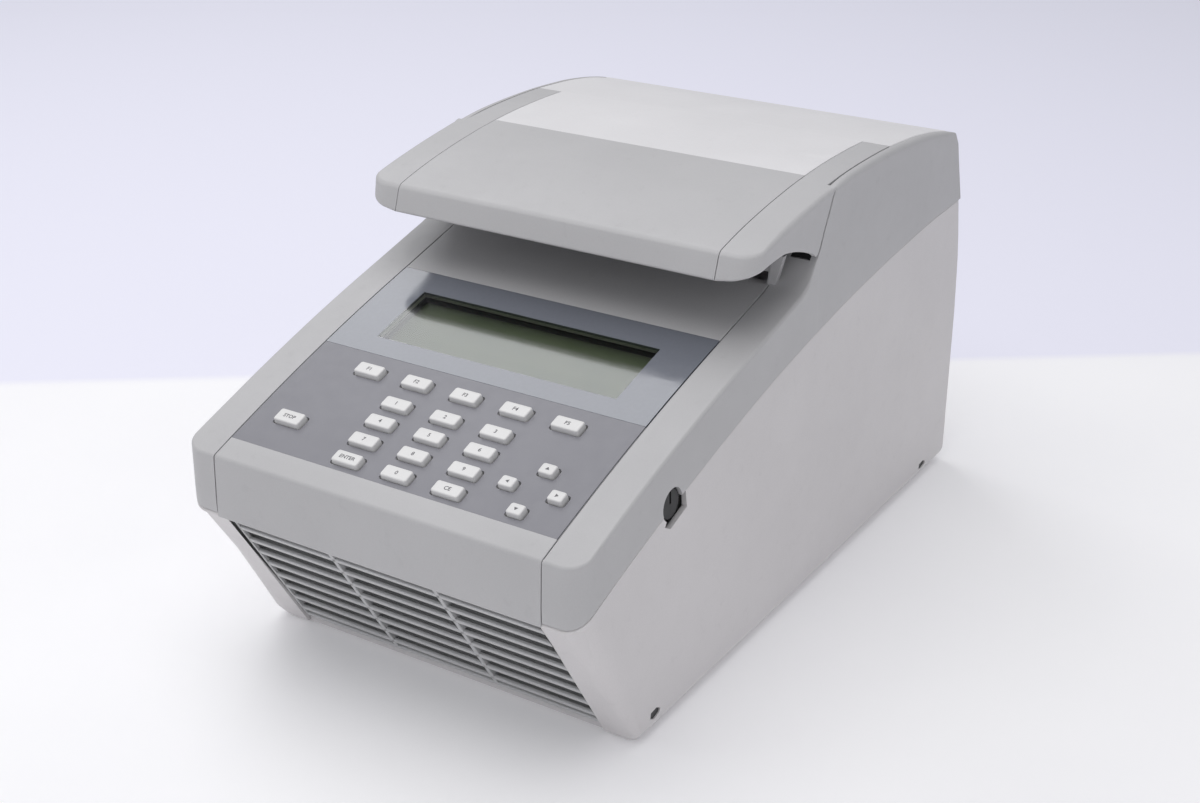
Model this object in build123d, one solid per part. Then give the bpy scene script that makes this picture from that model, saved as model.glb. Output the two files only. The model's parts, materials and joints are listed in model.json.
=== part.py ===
from build123d import *
import os
from math import cos, sin, tan, atan2, degrees, radians, hypot, pi

os.makedirs("parts", exist_ok=True)

# ---------------------------------------------------------------------------
# Driving dimensions, mm.  +Z up, +Y from the front to the back, +X to the
# right of someone standing behind the lid and looking at the keypad from the
# front.  The origin is on the bench under the centre of the instrument.
# ---------------------------------------------------------------------------
WIDTH = 240.0            # over the side bands
DEPTH = 406.8            # nose to rear panel
FOOT_H = 1.4             # gap from the bench to the shell
YC = 204.0               # profile ordinate that becomes Y = 0
HW = WIDTH / 2

WALL = 2.8               # moulded wall
SEAM_X = 98.9            # half width of the control panel
FLANK_X = 95.7           # half width of the grille
BEIGE_X = 119.6          # lower side panels sit a little inside the bands
LIP_X = 115.5            # inner face of the lips beside the lid
STRIP_X = 114.5          # outer face of the lid between the lips
GAP = 0.35               # parting gap between shells

NOSE_R = 12.0            # plan radius of the nose corners
FLANK_R = 9.0            # radius of the slanted front corners
BASE_R = 5.0             # radius along the bottom edges
LID_R = 13.0             # plan radius of the lid's front corners

DECK_Z = 198.0           # top of the sample deck
BLOCK_Z = 190.0          # top of the sample block
BLOCK_Y = 277.0          # centre of the block along the profile
WELL_PITCH = 9.0
WELL_R = 3.1             # mouth of a 0.2 mL tube well
HINGE_Y, HINGE_Z = 384.0, 208.0
LID_OPEN = 75.0          # degrees
KEY_TRAVEL = 1.2
KEY_H = 2.8              # keycap height above the overlay
KNOB_Y, KNOB_Z, KNOB_R = 79.5, 122.0, 7.6

# profile runs, (y from the nose, z from the bench)
NOSE = [(0.6, 91.6), (3.0, 123.6)]
SLOPE = [(3.0, 123.6), (16, 128.3), (30, 133.1), (46, 138.5), (63, 144.0),
         (81, 149.5), (96, 153.9), (111, 158.1), (125, 161.8), (138, 165.1),
         (152, 168.5), (169, 172.6), (187, 177.0), (198, 179.8), (208, 182.4)]
CHEEK = [(3.0, 123.6), (16, 128.3), (30, 133.1), (46, 138.5), (63, 144.0),
         (81, 149.5), (96, 153.9), (111, 158.1), (125, 161.8), (138, 165.1),
         (152, 168.5), (169, 172.6), (187, 177.0), (198, 179.6), (204.5, 181.3),
         (209.5, 183.4), (212.6, 185.6), (215, 188.2), (217, 191.2),
         (219, 194.2), (221.5, 197.2)]
LID_SEAM = [(221.5, 197.2), (224.4, 201.6), (229.0, 210.6), (233.2, 217.4),
            (236.4, 223.4), (240.4, 228.6)]
LIP_TOP = [(240.4, 228.6), (248, 230.1), (262, 230.9), (280, 231.0),
           (303, 230.4), (317, 229.5), (330, 228.3), (343, 226.9),
           (356, 224.9), (370, 222.2), (382, 219.2), (390.5, 216.6)]
REAR = [(390.5, 216.6), (394.4, 210.0), (396.6, 200.0), (402.6, 175.0)]
BOUND = [(402.9, 173.3), (361, 171.9), (321.5, 168.7), (260.5, 161.7),
         (215, 154.2), (173, 145.7), (105, 128.0), (51, 111.9), (34, 106.1),
         (17.3, 100.0), (8.0, 95.8), (2.6, 92.4), (0.6, 91.6)]
LID_TOP = [(158.3, 217.5), (168, 219.9), (178, 222.0), (188, 223.8),
           (198.6, 225.4), (208, 226.7), (219.5, 228.0), (229, 229.0),
           (239.6, 229.8), (246, 230.2), (263, 230.9), (280, 231.0),
           (296, 230.7), (312, 229.9)]
LID_REAR = [(312, 229.9), (330, 228.3), (343, 226.9), (356, 224.9),
            (370, 222.2), (384.0, 218.4)]
GRILLE_A, GRILLE_B = (4.6, 88.0), (51.2, 5.4)   # slanted front, side view


# ---------------------------------------------------------------------------
# helpers
# ---------------------------------------------------------------------------
def pt(x, y, z):
    return Vector(x, y - YC, z)


def run_edges(x, kind, pts):
    v = [pt(x, *p) for p in pts]
    if kind == "S" and len(v) > 2:
        return [Edge.make_spline(v)]
    return [Edge.make_line(a, b) for a, b in zip(v, v[1:])]


def slab(runs, x0, x1):
    """Closed side profile, swept from x0 to x1."""
    ed = []
    for kind, pts in runs:
        ed += run_edges(x0, kind, pts)
    first, last = runs[0][1][0], runs[-1][1][-1]
    if hypot(first[0] - last[0], first[1] - last[1]) > 1e-6:
        ed += run_edges(x0, "L", [last, first])
    face = Face(Wire(ed))
    return Solid.extrude(face, Vector(x1 - x0, 0, 0))


def inset(pts, d):
    """Shift a run by d to its right-hand side (down, for a run going back)."""
    out = []
    for i, p in enumerate(pts):
        a = pts[max(0, i - 1)]
        b = pts[min(len(pts) - 1, i + 1)]
        t = (b[0] - a[0], b[1] - a[1])
        n = hypot(*t)
        out.append((p[0] + d * t[1] / n, p[1] - d * t[0] / n))
    return out


def rev(pts):
    return list(reversed(pts))


def box(x0, x1, y0, y1, z0, z1):
    """Axis-aligned block; y in profile ordinates."""
    return Pos((x0 + x1) / 2, (y0 + y1) / 2 - YC, (z0 + z1) / 2) * Box(
        abs(x1 - x0), abs(y1 - y0), abs(z1 - z0))


def cyl_z(r, x, y, z0, z1):
    return Pos(x, y - YC, (z0 + z1) / 2) * Cylinder(r, abs(z1 - z0))


def cyl_x(r, x0, x1, y, z):
    return Pos((x0 + x1) / 2, y - YC, z) * Rot(0, 90, 0) * Cylinder(r, abs(x1 - x0))


def cyl_y(r, x, y0, y1, z):
    return Pos(x, (y0 + y1) / 2 - YC, z) * Rot(90, 0, 0) * Cylinder(r, abs(y1 - y0))


def corner_cutter(a, b, xo, r, inward):
    """What a rounded corner takes off.  The corner runs from a to b in side
    view at x = xo; inward is the unit (y, z) direction into the body."""
    ax, bx = pt(xo, *a), pt(xo, *b)
    d = (bx - ax).normalized()
    inn = Vector(0, inward[0], inward[1])
    side = Vector(-1, 0, 0) if xo > 0 else Vector(1, 0, 0)
    start = ax - d * 30
    L = (bx - ax).length + 60
    e = 4.0
    c = start + side * r + inn * r
    p_in_side = start + inn * r                   # tangent point on the side
    p_in_front = start + side * r                 # tangent point on the front
    mid = c - (side + inn).normalized() * r
    o_side = start + inn * r - side * e
    o_corner = start - inn * e - side * e
    o_front = start + side * r - inn * e
    w = Wire([Edge.make_three_point_arc(p_in_side, mid, p_in_front),
              Edge.make_line(p_in_front, o_front),
              Edge.make_line(o_front, o_corner),
              Edge.make_line(o_corner, o_side),
              Edge.make_line(o_side, p_in_side)])
    return Solid.extrude(Face(w), d * L)


def unit(a, b):
    n = hypot(b[0] - a[0], b[1] - a[1])
    return ((b[0] - a[0]) / n, (b[1] - a[1]) / n)


def one(shape):
    """The largest solid of a boolean result."""
    s = shape.solids()
    return max(s, key=lambda q: q.volume) if len(s) > 1 else s[0]


def soften(shape, pick, r):
    """Round the picked edges, with smaller radii if the first one fails."""
    for k in (1.0, 0.7, 0.4):
        try:
            ed = [e for e in shape.edges() if pick(e)]
            if not ed:
                return shape
            res = fillet(ed, r * k)
            s = res.solids()
            if len(s) == 1 and s[0].is_valid and s[0].volume > 0.8 * shape.volume:
                return s[0]
        except Exception:
            pass
    return shape


def flip(shape):
    return mirror(shape, about=Plane.YZ)


NODES = {}


def keep(name, shape):
    sol = shape.solids() if hasattr(shape, "solids") else [shape]
    NODES[name] = Compound(children=list(sol)) if len(sol) > 1 else sol[0]


def slope_point(s):
    """Point and slope angle at distance s up the panel from the overlay's
    lower edge."""
    pts = SLOPE[1:]
    for a, b in zip(pts, pts[1:]):
        n = hypot(b[0] - a[0], b[1] - a[1])
        if s <= n:
            break
        s -= n
    k = s / n
    return (a[0] + k * (b[0] - a[0]), a[1] + k * (b[1] - a[1]),
            atan2(b[1] - a[1], b[0] - a[0]))


def slope_plane(x, s, ang=None):
    y, z, a = slope_point(s)
    a = a if ang is None else ang
    return Plane(origin=pt(x, y, z), x_dir=(1, 0, 0),
                 z_dir=(0, -sin(a), cos(a)))


def lbox(w, h, z0, z1):
    return Pos(0, 0, (z0 + z1) / 2) * Box(w, h, abs(z1 - z0))


# ---------------------------------------------------------------------------
# 1. side bands: upper side shells with the nose corner and the lip by the lid
# ---------------------------------------------------------------------------
def side_band():
    outer = slab([("L", NOSE), ("S", CHEEK), ("S", LID_SEAM), ("S", LIP_TOP),
                  ("L", REAR), ("L", [REAR[-1], BOUND[0]]),
                  ("S", BOUND[:-1]), ("L", BOUND[-2:])], SEAM_X, HW)
    ci = inset(CHEEK, WALL)
    cav = slab([("L", [(NOSE[0][0] + WALL, 60), (NOSE[1][0] + WALL, 121.0)]),
                ("L", [(NOSE[1][0] + WALL, 121.0), ci[1]]),
                ("S", ci[1:-1]), ("L", [ci[-2], (219.5, 193.0), (224, 195.0), (395.2, 195.0),
                 (399.8, 175.0), (400, 60)])], SEAM_X - 2, HW - WALL)
    cav = cav - corner_cutter((NOSE[0][0] + WALL, NOSE[0][1]), (NOSE[1][0] + WALL, NOSE[1][1]),
                              HW - WALL, NOSE_R - WALL, (cos(radians(4.3)), -sin(radians(4.3))))
    s = outer - cav
    s = s - box(90, LIP_X, 222.6, 420, 194.9, 260)
    # the rear wall belongs to the rear panel as far out as x = 110
    s = s - box(90, 110.3, 380, 430, 90, 260)
    s = s - corner_cutter(NOSE[0], NOSE[1], HW, NOSE_R,
                          (cos(radians(4.3)), -sin(radians(4.3))))
    return one(s)


band_r = side_band()
band_r = soften(band_r, lambda e: (e.center().X > HW - 0.01 and
                e.length > 100 and e.center().Z > 130 and e.center().Y < 60 - 0), 3.0)
band_l = flip(band_r)

# ---------------------------------------------------------------------------
# 2. lower side panels, wrapping the slanted front and the rear corners
# ---------------------------------------------------------------------------
gt = unit(GRILLE_A, GRILLE_B)             # down the slanted front
gin = (-gt[1], gt[0])                     # into the body
GRILLE_LEN = hypot(GRILLE_B[0] - GRILLE_A[0], GRILLE_B[1] - GRILLE_A[1])


def side_panel():
    up = [(y, z - GAP) for y, z in BOUND[:-2]]
    outer = slab([("L", [GRILLE_A, (5.2, 92.2), up[-1]]),
                  ("S", rev(up)),
                  ("L", [up[0], (407.4, 140.0), (407.4, 9.0), (403.0, FOOT_H),
                         (54.0, FOOT_H), GRILLE_B, GRILLE_A])], FLANK_X, BEIGE_X)
    fi = [(GRILLE_A[0] + gin[0] * 3, GRILLE_A[1] + gin[1] * 3),
          (GRILLE_B[0] + gin[0] * 3, GRILLE_B[1] + gin[1] * 3)]
    cav = slab([("L", [(12, 96), fi[0], fi[1], (58, 6.2), (401.5, 6.2), (404.4, 10),
                       (404.4, 140), (400.2, 172), (399, 210), (12, 210)])],
               FLANK_X - 2, BEIGE_X - 4.0)
    cav = cav - corner_cutter(fi[0], fi[1], BEIGE_X - 4.0, FLANK_R - 3.5, gin)
    s = outer - cav
    s = s - box(90, 110.3, 396, 430, 6.5, 260)
    # taper of the outer face below z = 100
    wedge = Solid.extrude(Face(Wire.make_polygon([
        Vector(BEIGE_X, -260, 100), Vector(BEIGE_X + 6, -260, 100),
        Vector(BEIGE_X + 6, -260, -5), Vector(BEIGE_X - 2.2, -260, -5)])),
        Vector(0, 520, 0))
    s = s - wedge
    s = s - corner_cutter(GRILLE_A, GRILLE_B, BEIGE_X, FLANK_R, gin)
    # rounded bottom edge
    bx = BEIGE_X - 2.0
    r = BASE_R
    w = Wire([Edge.make_three_point_arc(
        Vector(bx, -260, FOOT_H + r),
        Vector(bx - r + r * cos(pi / 4), -260, FOOT_H + r - r * sin(pi / 4)),
        Vector(bx - r, -260, FOOT_H)),
        Edge.make_line(Vector(bx - r, -260, FOOT_H), Vector(bx - r, -260, FOOT_H - 5)),
        Edge.make_line(Vector(bx - r, -260, FOOT_H - 5), Vector(bx + 8, -260, FOOT_H - 5)),
        Edge.make_line(Vector(bx + 8, -260, FOOT_H - 5), Vector(bx + 8, -260, FOOT_H + r)),
        Edge.make_line(Vector(bx + 8, -260, FOOT_H + r), Vector(bx, -260, FOOT_H + r))])
    s = s - Solid.extrude(Face(w), Vector(0, 520, 0))
    # moulded notches for the base screws
    for y in (66.0, 393.0):
        s = s - box(115.2, 122, y - 4, y + 4, 8.5, 14.0)
    return one(s)


panel_r = side_panel()
panel_l = flip(panel_r)

# knob opening in the right side only: round hole and angled finger relief
knob_hole = cyl_x(KNOB_R + 1.0, 112, 125, KNOB_Y, KNOB_Z)
relief = slab([("L", [(84.0, 125.6), (91.0, 127.4), (93.0, 114.6), (78.0, 109.6),
                      (73.0, 112.6), (KNOB_Y, KNOB_Z)])], 112, 125)
band_r = one(band_r - knob_hole)
panel_r = one(panel_r - knob_hole - relief)

keep("side_band_right", band_r)
keep("side_band_left", band_l)
keep("side_panel_right", panel_r)
keep("side_panel_left", panel_l)

cup = (cyl_x(11.5, 111.4, 113.0, KNOB_Y + 1.5, KNOB_Z - 1.5)
       + box(111.4, 113.0, 72.0, 96.0, 108.0, 129.0)
       - cyl_x(2.6, 105, 120, KNOB_Y, KNOB_Z))
knob = cyl_x(KNOB_R, 113.3, 118.6, KNOB_Y, KNOB_Z) + cyl_x(2.5, 106.5, 113.4, KNOB_Y, KNOB_Z)
knob = knob - box(117.6, 119, KNOB_Y - 0.7, KNOB_Y + 0.7, KNOB_Z, KNOB_Z + 6.6)
for i in range(24):
    a = 2 * pi * i / 24
    knob = knob - cyl_x(0.45, 113, 119, KNOB_Y + KNOB_R * cos(a), KNOB_Z + KNOB_R * sin(a))
keep("contrast_knob", knob)
pot = box(100.5, 106.4, KNOB_Y - 8, KNOB_Y + 8, KNOB_Z - 8, KNOB_Z + 8) \
    + cyl_x(4.5, 106.3, 111.5, KNOB_Y, KNOB_Z) + cup - cyl_x(2.55, 104.5, 114, KNOB_Y, KNOB_Z)
keep("contrast_pot", one(pot))

# ---------------------------------------------------------------------------
# 3. control panel: nose face, sloping deck and the wall under the lid
# ---------------------------------------------------------------------------
si = inset(SLOPE, WALL)
cp = slab([("L", [(7.0, 90.2), (2.0, 90.2), NOSE[0], NOSE[1]]), ("S", SLOPE),
           ("L", [SLOPE[-1], (210.6, 183.6), (212.0, 186.2), (212.0, DECK_Z),
                  (214.8, DECK_Z), (214.8, 185.4), (212.6, 181.6), si[-1]]),
           ("S", rev(si[1:])), ("L", [si[1], (NOSE[1][0] + 2.9, 121.4), (3.6, 93.0),
                                      (7.0, 93.0), (7.0, 90.2)])],
          -SEAM_X + GAP, SEAM_X - GAP)
for sx in (-1, 1):                # lower flange stops short of the side panels
    cp = cp - box(sx * (FLANK_X - 0.4), sx * (SEAM_X + 1), 3.7, 9.0, 89.0, 93.1)
cp = soften(cp, lambda e: abs(e.center().X) < 1 and e.length > 190 and
            abs(e.center().Z - NOSE[1][1]) < 0.3 and e.center().Y < -200.5, 1.8)

ov_i = inset(SLOPE, 0.6)
wi_i = inset(SLOPE, 1.4)
I0, I1, I2 = 1, 5, 10     # overlay runs from SLOPE[1]; window ends near SLOPE[10]


def cut_run(pts, y0, y1):
    """Part of a run between two ordinates, with its ends interpolated."""
    out = []
    for a, b in zip(pts, pts[1:]):
        for yy in (y0, y1):
            if a[0] <= yy < b[0]:
                k = (yy - a[0]) / (b[0] - a[0])
                out.append((yy, a[1] + k * (b[1] - a[1])))
        if y0 < b[0] < y1:
            out.append(b)
    out = sorted(set(out))
    return out


OV0, OV1, WI1 = 16.0, 90.6, 159.4
full = cut_run(SLOPE, 3.0001, 207.9)


def strip_solid(y0, y1, d, x0, x1):
    """Layer of thickness d just under the panel surface from y0 to y1."""
    top = slab([("L", [(y0, 80)] + [(y0, 230), (y1, 230), (y1, 80)])], x0, x1)
    lay = slab([("S", SLOPE), ("L", [SLOPE[-1], si_d(d)[-1]]), ("S", rev(si_d(d)))], x0, x1)
    return lay & top


def si_d(d):
    return inset(SLOPE, d)


ov = strip_solid(OV0, OV1 - 0.15, 0.6, -98.3, 98.3)
wi = strip_solid(OV1 + 0.15, WI1, 1.4, -98.3, 98.3)
cp = cp - ov - wi
cp = cp - strip_solid(OV1 - 0.4, OV1 + 0.4, 0.6, -98.3, 98.3)

LCD_W, LCD_S0, LCD_S1 = 148.6, 90.8, 133.2
lcd_mid = (LCD_S0 + LCD_S1) / 2
lp = slope_plane(0.2, lcd_mid)
cp = cp - lp * lbox(LCD_W, LCD_S1 - LCD_S0, -6, 2)

# key table: name, x, s, width, height
CX = 2.6
PIT = 30.35
KEYS = []
for i, n in enumerate(("f1", "f2", "f3", "f4", "f5")):
    KEYS.append((n, CX + (i - 2) * PIT, 65.0, 16.0, 8.0))
for r_, (row, s_) in enumerate(((("1", "2", "3"), 47.8), (("4", "5", "6"), 34.2),
                                (("7", "8", "9"), 20.6), (("enter", "0", "clear"), 7.0))):
    for c_, n in enumerate(row):
        KEYS.append((n, CX + (c_ - 1) * PIT, s_, 16.0, 7.6))
KEYS.append(("stop", -75.8, 20.8, 16.0, 8.4))
KEYS += [("up", 71.6, 34.9, 8.4, 6.8), ("left", 57.7, 21.3, 8.4, 6.8),
         ("right", 85.4, 21.3, 8.4, 6.8), ("down", 71.6, 7.5, 8.4, 6.8)]

key_solids = {}
cutters = []
for n, x, s_, w, h in KEYS:
    P = slope_plane(x, s_)
    cap = lbox(w, h, -3.0, KEY_H)
    cap = fillet(cap.edges().filter_by(Axis.Z), 1.3)
    cap = fillet(cap.faces().sort_by(Axis.Z)[-1].edges(), 0.8)
    k = cap + lbox(w + 2.0, h + 1.6, -4.6, -3.2 + 0.0) + lbox(w, h, -3.3, -2.9)
    k = k + Pos(0, 0, -5.7) * Cylinder(1.9, 2.4)
    key_solids[n] = P * k
    hole = lbox(w + 0.8, h + 0.8, -6, 2)
    hole = fillet(hole.edges().filter_by(Axis.Z), 1.6)
    cutters.append(P * hole)
for c in cutters:
    cp = cp - c
    ov = ov - c
keep("control_panel", one(cp))
keep("keypad_overlay", one(ov))
keep("display_window", one(wi))
for n in key_solids:
    keep("key_" + n, key_solids[n])

# keypad board with switch bodies, on a plane tangent half way up the keypad
kp = slope_plane(0, 36.0)
kb = kp * lbox(184, 74, -12.4, -10.8)
sw = []
for n, x, s_, w, h in KEYS:
    y, z, a = slope_point(s_)
    g = kp.to_local_coords(pt(x, y, z))
    kb = kb + kp * Pos(g.X, g.Y, -10.2) * Box(6.0, 6.0, 1.4)
keep("keypad_board", kb)

# display: glass cell in a metal frame on its board
keep("lcd_frame", lp * (lbox(176, 58, -8.6, -5.6) - lbox(150.6, 44.4, -9, 0)
                        + lbox(176, 58, -12.4, -11.0) - lbox(150.6, 44.4, -20, -10.9)
                        + (lbox(176, 58, -11.2, -8.4) - lbox(172, 54, -12, -8))))
keep("lcd_glass", lp * lbox(171.6, 53.6, -10.9, -8.7))

# ---------------------------------------------------------------------------
# 4. front grille: slanted louvre insert
# ---------------------------------------------------------------------------
SET_BACK = 1.2            # the insert sits a little behind the flanks
gp = Plane(origin=pt(0, GRILLE_A[0] + gin[0] * SET_BACK, GRILLE_A[1] + gin[1] * SET_BACK),
           x_dir=(1, 0, 0), z_dir=(0, -gin[0], -gin[1]))
# local y of this plane points up the slanted face
gw = FLANK_X - GAP
L = GRILLE_LEN
g = Pos(0, -L / 2, -1.5) * Box(2 * gw, L, 3.0)
PITCH_G = 11.05
FIRST = 8.2               # height of the top opening
for i in range(9):
    top = -FIRST - PITCH_G * (i - 1) - 3.1 if i else 0.6
    bot = max(-FIRST - PITCH_G * i, -92.0)
    g = g - Pos(0, (top + bot) / 2, -1.5) * Box(2 * gw - 3.4, top - bot, 4.0)
# short level blades behind each bar
blades = None
for i in range(8):
    yb = -FIRST - PITCH_G * i - 1.55
    b = Pos(0, yb, 0) * Rot(-29.4, 0, 0) * Pos(0, 0, -3.6) * Box(2 * gw - 3.0, 2.2, 4.4)
    g = g + b
for xr in (-32.2, 32.2):
    rib = Pos(xr, -L / 2 + 0.2, -3.0) * Box(3.0, L - 3.0, 6.0)
    g = g + rib
g = g - Pos(0, 0, 5.0) * Box(300, 300, 10.0)
g = g & (Pos(0, -L / 2, -6.0) * Box(2 * gw, L - 0.2, 14.0))
grille = gp * g
keep("front_grille", one(grille))

# ---------------------------------------------------------------------------
# 5. base tray, feet, rear panel
# ---------------------------------------------------------------------------
tray = box(-114.8, 114.8, 72.0, 401.2, 6.3, 9.0) + box(-103.5, 103.5, 59.2, 73.0, 6.3, 9.0)
tray = tray + box(-95.2, 95.2, 54.8, 403.0, FOOT_H, 6.4)
tray = tray - box(-90, 90, 62, 396, 0, 6.2)
for i in range(7):
    tray = tray - box(-60 + i * 18, -50 + i * 18, 110, 190, 4, 10)
FEET = [(x, y) for x in (-84, 84) for y in (76.0, 388.0)]
for x, y in FEET:
    tray = tray + cyl_z(10.5, x, y, FOOT_H, 8)
    tray = tray - cyl_z(8.05, x, y, 0, 4.6)
MBH = [(x, y) for x in (-92, 92) for y in (72, 190)]
for x, y in MBH:
    tray = tray + cyl_z(3.2, x, y, 8.5, 20.0) + cyl_z(1.6, x, y, 19.5, 22.6)
for x, y in ((-98, 213), (-18, 213), (-98, 323), (-18, 323)):
    tray = tray + cyl_z(3.2, x, y, 8.5, 12.0)
keep("base_tray", one(tray))
feet = None
for x, y in FEET:
    f = cyl_z(8.0, x, y, 0.0, 4.6)
    f = fillet(f.edges().sort_by(Axis.Z)[0], 1.0)
    feet = f if feet is None else feet + f
keep("rubber_feet", feet)

RP = [(407.4, 9.3), (407.4, 140.0), (402.6, 175.0), (397.2, 199.6), (396.8, 206.6)]
rpi = [(404.8, 9.3), (404.8, 139.8), (400.1, 174.4), (394.9, 199.0), (394.9, 206.6)]
rear = slab([("L", RP + rev(rpi))], -109.9, 109.9)
# exhaust louvres
for i in range(11):
    z = 92 + i * 6.2
    rear = rear - box(-47, -5, 395, 415, z, z + 3.0) - box(5, 47, 395, 415, z, z + 3.0)
INLET_X, SWITCH_X, PZ = 74.0, 36.0, 34.0
rear = rear - box(INLET_X - 13.9, INLET_X + 13.9, 395, 415, PZ - 10.1, PZ + 10.1)
rear = rear - box(SWITCH_X - 10.4, SWITCH_X + 10.4, 395, 415, PZ - 14.2, PZ + 14.2)
RS = [(x, z) for x in (-100, 0, 100) for z in (18.0, 130.0)]
for x, z in RS:
    rear = rear - cyl_y(2.0, x, 395, 415, z) - cyl_y(3.6, x, 406.0, 415, z)
keep("rear_panel", one(rear))
scr = None
for x, z in RS:
    q = cyl_y(3.4, x, 406.1, 407.3, z) + cyl_y(1.9, x, 398.0, 406.2, z)
    q = q - (Pos(x, 407.3 - YC, z) * Box(4.2, 1.4, 0.8)) - (Pos(x, 407.3 - YC, z) * Box(0.8, 1.4, 4.2))
    scr = q if scr is None else scr + q
keep("rear_screws", scr)

# power inlet (three flat blades in a recessed socket) and rocker switch
inl = box(INLET_X - 13.7, INLET_X + 13.7, 384.0, 407.2, PZ - 9.9, PZ + 9.9)
inl = inl - box(INLET_X - 12.0, INLET_X + 12.0, 390.0, 408, PZ - 7.8, PZ + 7.8)
inl = inl + box(INLET_X - 16.5, INLET_X + 16.5, 402.6, 404.7, PZ - 12.5, PZ + 12.5) \
    - box(INLET_X - 12.0, INLET_X + 12.0, 390.0, 408, PZ - 7.8, PZ + 7.8)
blades_ = None
for dx, dz in ((-7.0, -1.5), (0, 2.5), (7.0, -1.5)):
    b = box(INLET_X + dx - 1.0, INLET_X + dx + 1.0, 378.0, 403.5, PZ + dz - 2.0, PZ + dz + 2.0)
    blades_ = b if blades_ is None else blades_ + b
inl = inl + blades_
keep("power_inlet", one(inl))

swf = box(SWITCH_X - 10.2, SWITCH_X + 10.2, 386.0, 407.0, PZ - 14.0, PZ + 14.0)
swf = swf - box(SWITCH_X - 8.2, SWITCH_X + 8.2, 389.0, 408, PZ - 12.0, PZ + 12.0)
swf = swf - cyl_x(1.55, SWITCH_X - 9.4, SWITCH_X + 9.4, 400.0, PZ)
keep("switch_frame", one(swf))
rk = slab([("L", [(399.0, PZ - 4.0), (403.6, PZ - 11.0), (406.6, PZ - 10.4),
                  (404.9, PZ), (405.2, PZ + 10.6), (402.2, PZ + 11.2), (399.0, PZ + 4.0),
                  (394.5, PZ + 2.0), (394.5, PZ - 2.0)])], SWITCH_X - 7.9, SWITCH_X + 7.9)
rk = rk + cyl_x(1.5, SWITCH_X - 9.2, SWITCH_X + 9.2, 400.0, PZ) + cyl_x(4.0, SWITCH_X - 7.9, SWITCH_X + 7.9, 400.0, PZ)
keep("power_rocker", one(rk))

# ---------------------------------------------------------------------------
# 6. sample deck, block and thermal stack
# ---------------------------------------------------------------------------
deck = box(-LIP_X + 0.2, LIP_X - 0.2, 222.8, 370.0, DECK_Z - 3.0, DECK_Z)
deck = deck + box(-SEAM_X + 0.4, SEAM_X - 0.4, 214.9, 223.5, DECK_Z - 3.0, DECK_Z)
BW, BD = 118.0, 80.0                   # block body
OPW, OPD = 134.0, 94.0                 # opening in the deck
deck = deck - box(-OPW / 2, OPW / 2, BLOCK_Y - OPD / 2, BLOCK_Y + OPD / 2, 180, 210)
# raised collar hanging below the opening
deck = deck + (box(-OPW / 2 - 2, OPW / 2 + 2, BLOCK_Y - OPD / 2 - 2, BLOCK_Y + OPD / 2 + 2, 182, DECK_Z - 1)
               - box(-OPW / 2, OPW / 2, BLOCK_Y - OPD / 2, BLOCK_Y + OPD / 2, 170, 210))
deck = deck - box(-9.5, 9.5, 216.9, 224.5, 180, 210)       # latch slot
keep("sample_deck", one(deck))

# gasket frame between collar and block
gas = box(-OPW / 2 + 0.3, OPW / 2 - 0.3, BLOCK_Y - OPD / 2 + 0.3, BLOCK_Y + OPD / 2 - 0.3, 183.0, 186.0) \
    - box(-BW / 2 - 0.05, BW / 2 + 0.05, BLOCK_Y - BD / 2 - 0.05, BLOCK_Y + BD / 2 + 0.05, 170, 210)
keep("block_gasket", one(gas))

blk = box(-BW / 2, BW / 2, BLOCK_Y - BD / 2, BLOCK_Y + BD / 2, 174.0, BLOCK_Z)
blk = fillet(blk.edges().filter_by(Axis.Z), 4.0)
well = Solid.make_cone(1.4, WELL_R, 13.5)
ws = []
for i in range(12):
    for j in range(8):
        wx = (i - 5.5) * WELL_PITCH
        wy = BLOCK_Y + (j - 3.5) * WELL_PITCH
        ws.append(Pos(wx, wy - YC, BLOCK_Z - 13.4) * well)
blk = blk - ws
keep("sample_block", one(blk))

pel = []
for i in range(3):
    for j in range(2):
        cx = (i - 1) * 39.0
        cy = BLOCK_Y + (j - 0.5) * 39.0
        pel.append(box(cx - 18.5, cx + 18.5, cy - 18.5, cy + 18.5, 170.2, 173.9))
keep("peltier_modules", Compound(children=[p.solids()[0] for p in pel]))

hs = box(-62, 62, 229.0, 325.0, 160.0, 170.1)
for i in range(21):
    x = -60 + i * 6.0
    hs = hs + box(x - 0.9, x + 0.9, 229.0, 325.0, 122.0, 160.2)
keep("heatsink", one(hs))

# fan behind the heat sink
FY0, FY1, FZ = 340.0, 365.0, 141.0
fan = box(-46, 46, FY0, FY1, FZ - 46, FZ + 46)
fan = fillet(fan.edges().filter_by(Axis.Y), 4.0)
fan = fan - cyl_y(43.5, 0, FY0 - 1, FY1 + 1, FZ)
for x in (-41.2, 41.2):
    for z in (-41.2, 41.2):
        fan = fan - cyl_y(2.1, x, FY0 - 1, FY1 + 1, FZ + z)
hub = cyl_y(15.0, 0, FY1 - 4.0, FY1, FZ)
for k in range(4):
    a = radians(45 + 90 * k)
    arm = Pos(29.5 * cos(a), FY1 - 2.0 - YC, FZ + 29.5 * sin(a)) * Rot(0, -degrees(a), 0) * Box(32, 3.6, 3.5)
    hub = hub + arm
fan = fan + hub - cyl_y(2.05, 0, FY1 - 12, FY1 + 1, FZ)
keep("fan_housing", one(fan))
rot = cyl_y(14.5, 0, FY0 + 2, FY1 - 4.6, FZ)
for k in range(7):
    a = 360.0 / 7 * k
    bl = Rot(0, a, 0) * (Pos(27.0, 0, 0) * Rot(38, 0, 0) * Box(28.0, 17.0, 1.8))
    rot = rot + Pos(0, (FY0 + FY1) / 2 - 1.5 - YC, FZ) * bl
rot = rot & cyl_y(42.3, 0, FY0 + 1.5, FY1 - 4.6, FZ)
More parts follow.
